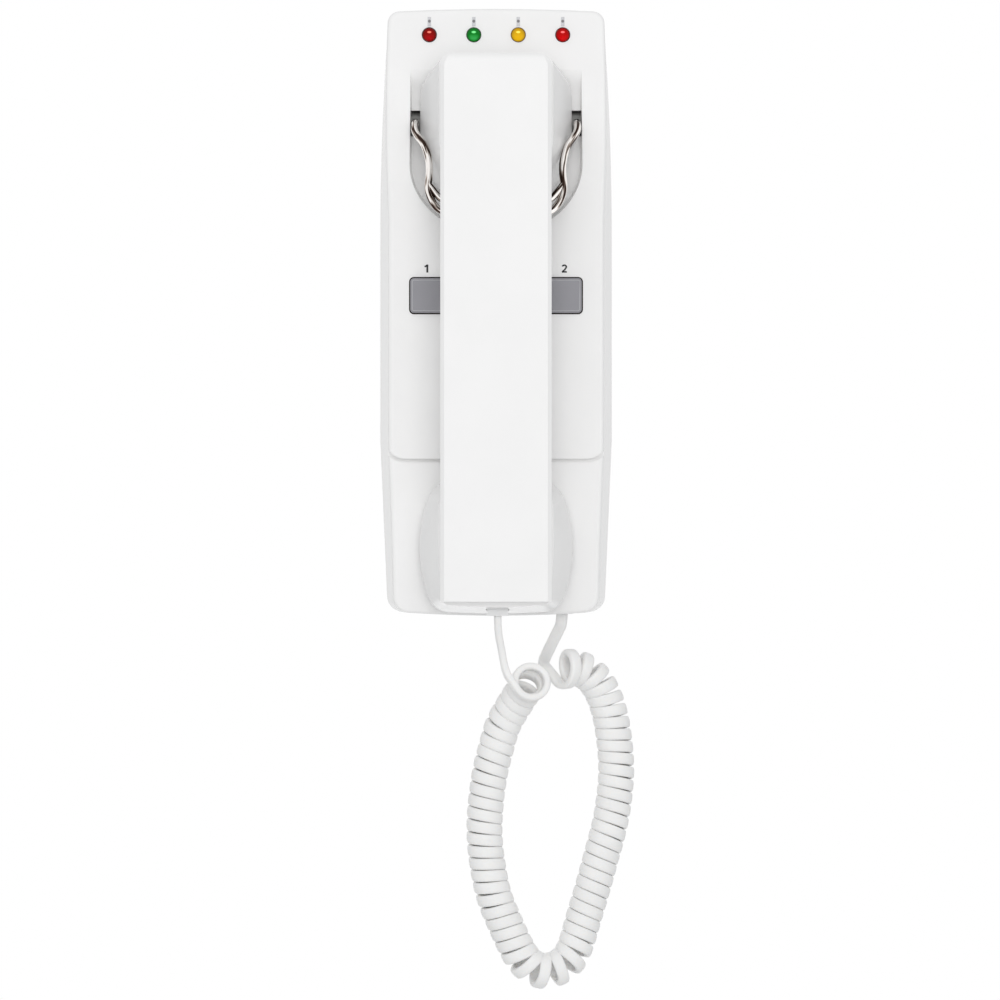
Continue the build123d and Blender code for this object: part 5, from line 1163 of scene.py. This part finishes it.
@dataclass
class Studio:
    """A white surround, soft lamps, a pale floor and the camera."""

    distance: float = 2.5
    scale: float = 0.3648
    middle: tuple[float, float] = (1.46 * MM, -68.8 * MM)
    scale_depth: float = 35.0 * MM
    sensor: float = 36.0
    floor_z: float = -0.42
    floor_half: float = 1.6
    floor_glow: float = 0.48
    floor_scale: float = 30.0
    floor_stops: tuple[tuple[float, Colour], ...] = ((0.3, (0.80, 0.80, 0.80)), (0.7, (0.82, 0.82, 0.82)))
    clip: tuple[float, float] = (0.1, 50.0)
    white: tuple[float, ...] = (1.0, 1.0, 1.0, 1.0)
    soft: tuple[float, ...] = (0.98, 0.99, 1.0, 1.0)
    target: Place = (0.0, -30.0 * MM, -20.0 * MM)
    surround: float = 0.58
    lamps: tuple[tuple[Place, float, float], ...] = (
        ((-0.25, -0.9, 0.8), 0.7, 1.4),
        ((0.14, -2.2, 0.22), 1.3, 15.8),
        ((-0.5, 2.0, 0.6), 1.4, 13.0),
    )

    def camera(self) -> None:
        """Makes the camera, straight in front of the object."""
        data = bpy.data.cameras.new("camera")
        data.sensor_width = self.sensor
        data.lens = self.sensor * self.distance / self.scale
        data.clip_start, data.clip_end = self.clip
        made = bpy.data.objects.new("camera", data)
        across, height = self.middle
        made.location = (across, -self.distance - self.scale_depth, height)
        made.rotation_euler = (np.pi / 2, 0.0, 0.0)
        bpy.context.scene.collection.objects.link(made)
        bpy.context.scene.camera = made

    def world(self) -> None:
        """Makes the surround: plain white to the eye and in reflections, softer as light."""
        bpy.context.scene.world = bpy.data.worlds.new("surround")
        graph = Graph(bpy.context.scene.world)
        white = graph.node("ShaderNodeBackground", {}, {"Color": self.white})
        soft = graph.node("ShaderNodeBackground", {}, {"Color": self.soft, "Strength": self.surround})
        shaders = {0: graph.seen(), 1: soft.outputs[0], 2: white.outputs[0]}
        mix = graph.node("ShaderNodeMixShader", {}, shaders)
        graph.node("ShaderNodeOutputWorld", {}, {0: mix.outputs[0]})

    def floor(self) -> None:
        """Makes a pale floor below the cord that looks white and keeps the object's shadow."""
        graph = Graph.of_material("floor_white")
        colour = graph.ramp(graph.noise(self.floor_scale), self.floor_stops)
        matte = graph.node("ShaderNodeBsdfDiffuse", {}, {"Color": colour})
        glow_inputs = {"Color": self.white, "Strength": graph.seen() * self.floor_glow}
        glow = graph.node("ShaderNodeEmission", {}, glow_inputs)
        both = graph.node("ShaderNodeAddShader", {}, {0: matte.outputs[0], 1: glow.outputs[0]})
        graph.node("ShaderNodeOutputMaterial", {}, {"Surface": both.outputs[0]})
        mesh = bpy.data.meshes.new("floor")
        side = self.floor_half
        corners = [(-side, -side, self.floor_z), (side, -side, self.floor_z)]
        corners += [(side, side, self.floor_z), (-side, side, self.floor_z)]
        mesh.from_pydata(corners, [], [(0, 1, 2, 3)])
        mesh.materials.append(graph.owner)
        made = bpy.data.objects.new("floor", mesh)
        bpy.context.scene.collection.objects.link(made)

    def lights(self) -> None:
        """Hangs the soft lamps, each aimed at the middle of the base."""
        for number, (place, size, power) in enumerate(self.lamps, 1):
            data = bpy.data.lights.new(f"lamp_{number}", "AREA")
            data.shape = "DISK"
            data.size = size
            data.energy = power
            made = bpy.data.objects.new(f"lamp_{number}", data)
            made.location = place
            way = Vector(tuple(np.array(self.target) - np.array(place)))
            made.rotation_euler = way.to_track_quat("-Z", "Y").to_euler()
            made.visible_glossy = False
            bpy.context.scene.collection.objects.link(made)

    def build(self) -> None:
        """Sets the view transform and makes the whole stage."""
        bpy.context.scene.view_settings.view_transform = "Standard"
        self.camera()
        self.world()
        self.floor()
        self.lights()


def dress_nodes(frame: dict[str, Any]) -> None:
    """Gives each carried-over node its finish.

    Args:
        frame: What the frame's load gave.
    """
    for finish, names in DRESSING.items():
        material = finish.material()
        for name in names:
            mesh = frame["nodes"][name].data
            mesh.materials.clear()
            mesh.materials.append(material)
            LOG.info("%s wears %s", name, finish.name)


def main() -> None:
    """Builds the stage, dresses the frame and adds the pieces."""
    logging.basicConfig(level=logging.INFO, format="%(name)s: %(message)s")
    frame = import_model()
    Studio().build()
    CurlyCord().build()
    dress_nodes(frame)
    HookWire().build()
    IndicatorLights().build()
    ButtonGapShadeAndHighlight().build()
    PrintedMarksAndReflections().build()


if __name__ == "__main__":
    main()
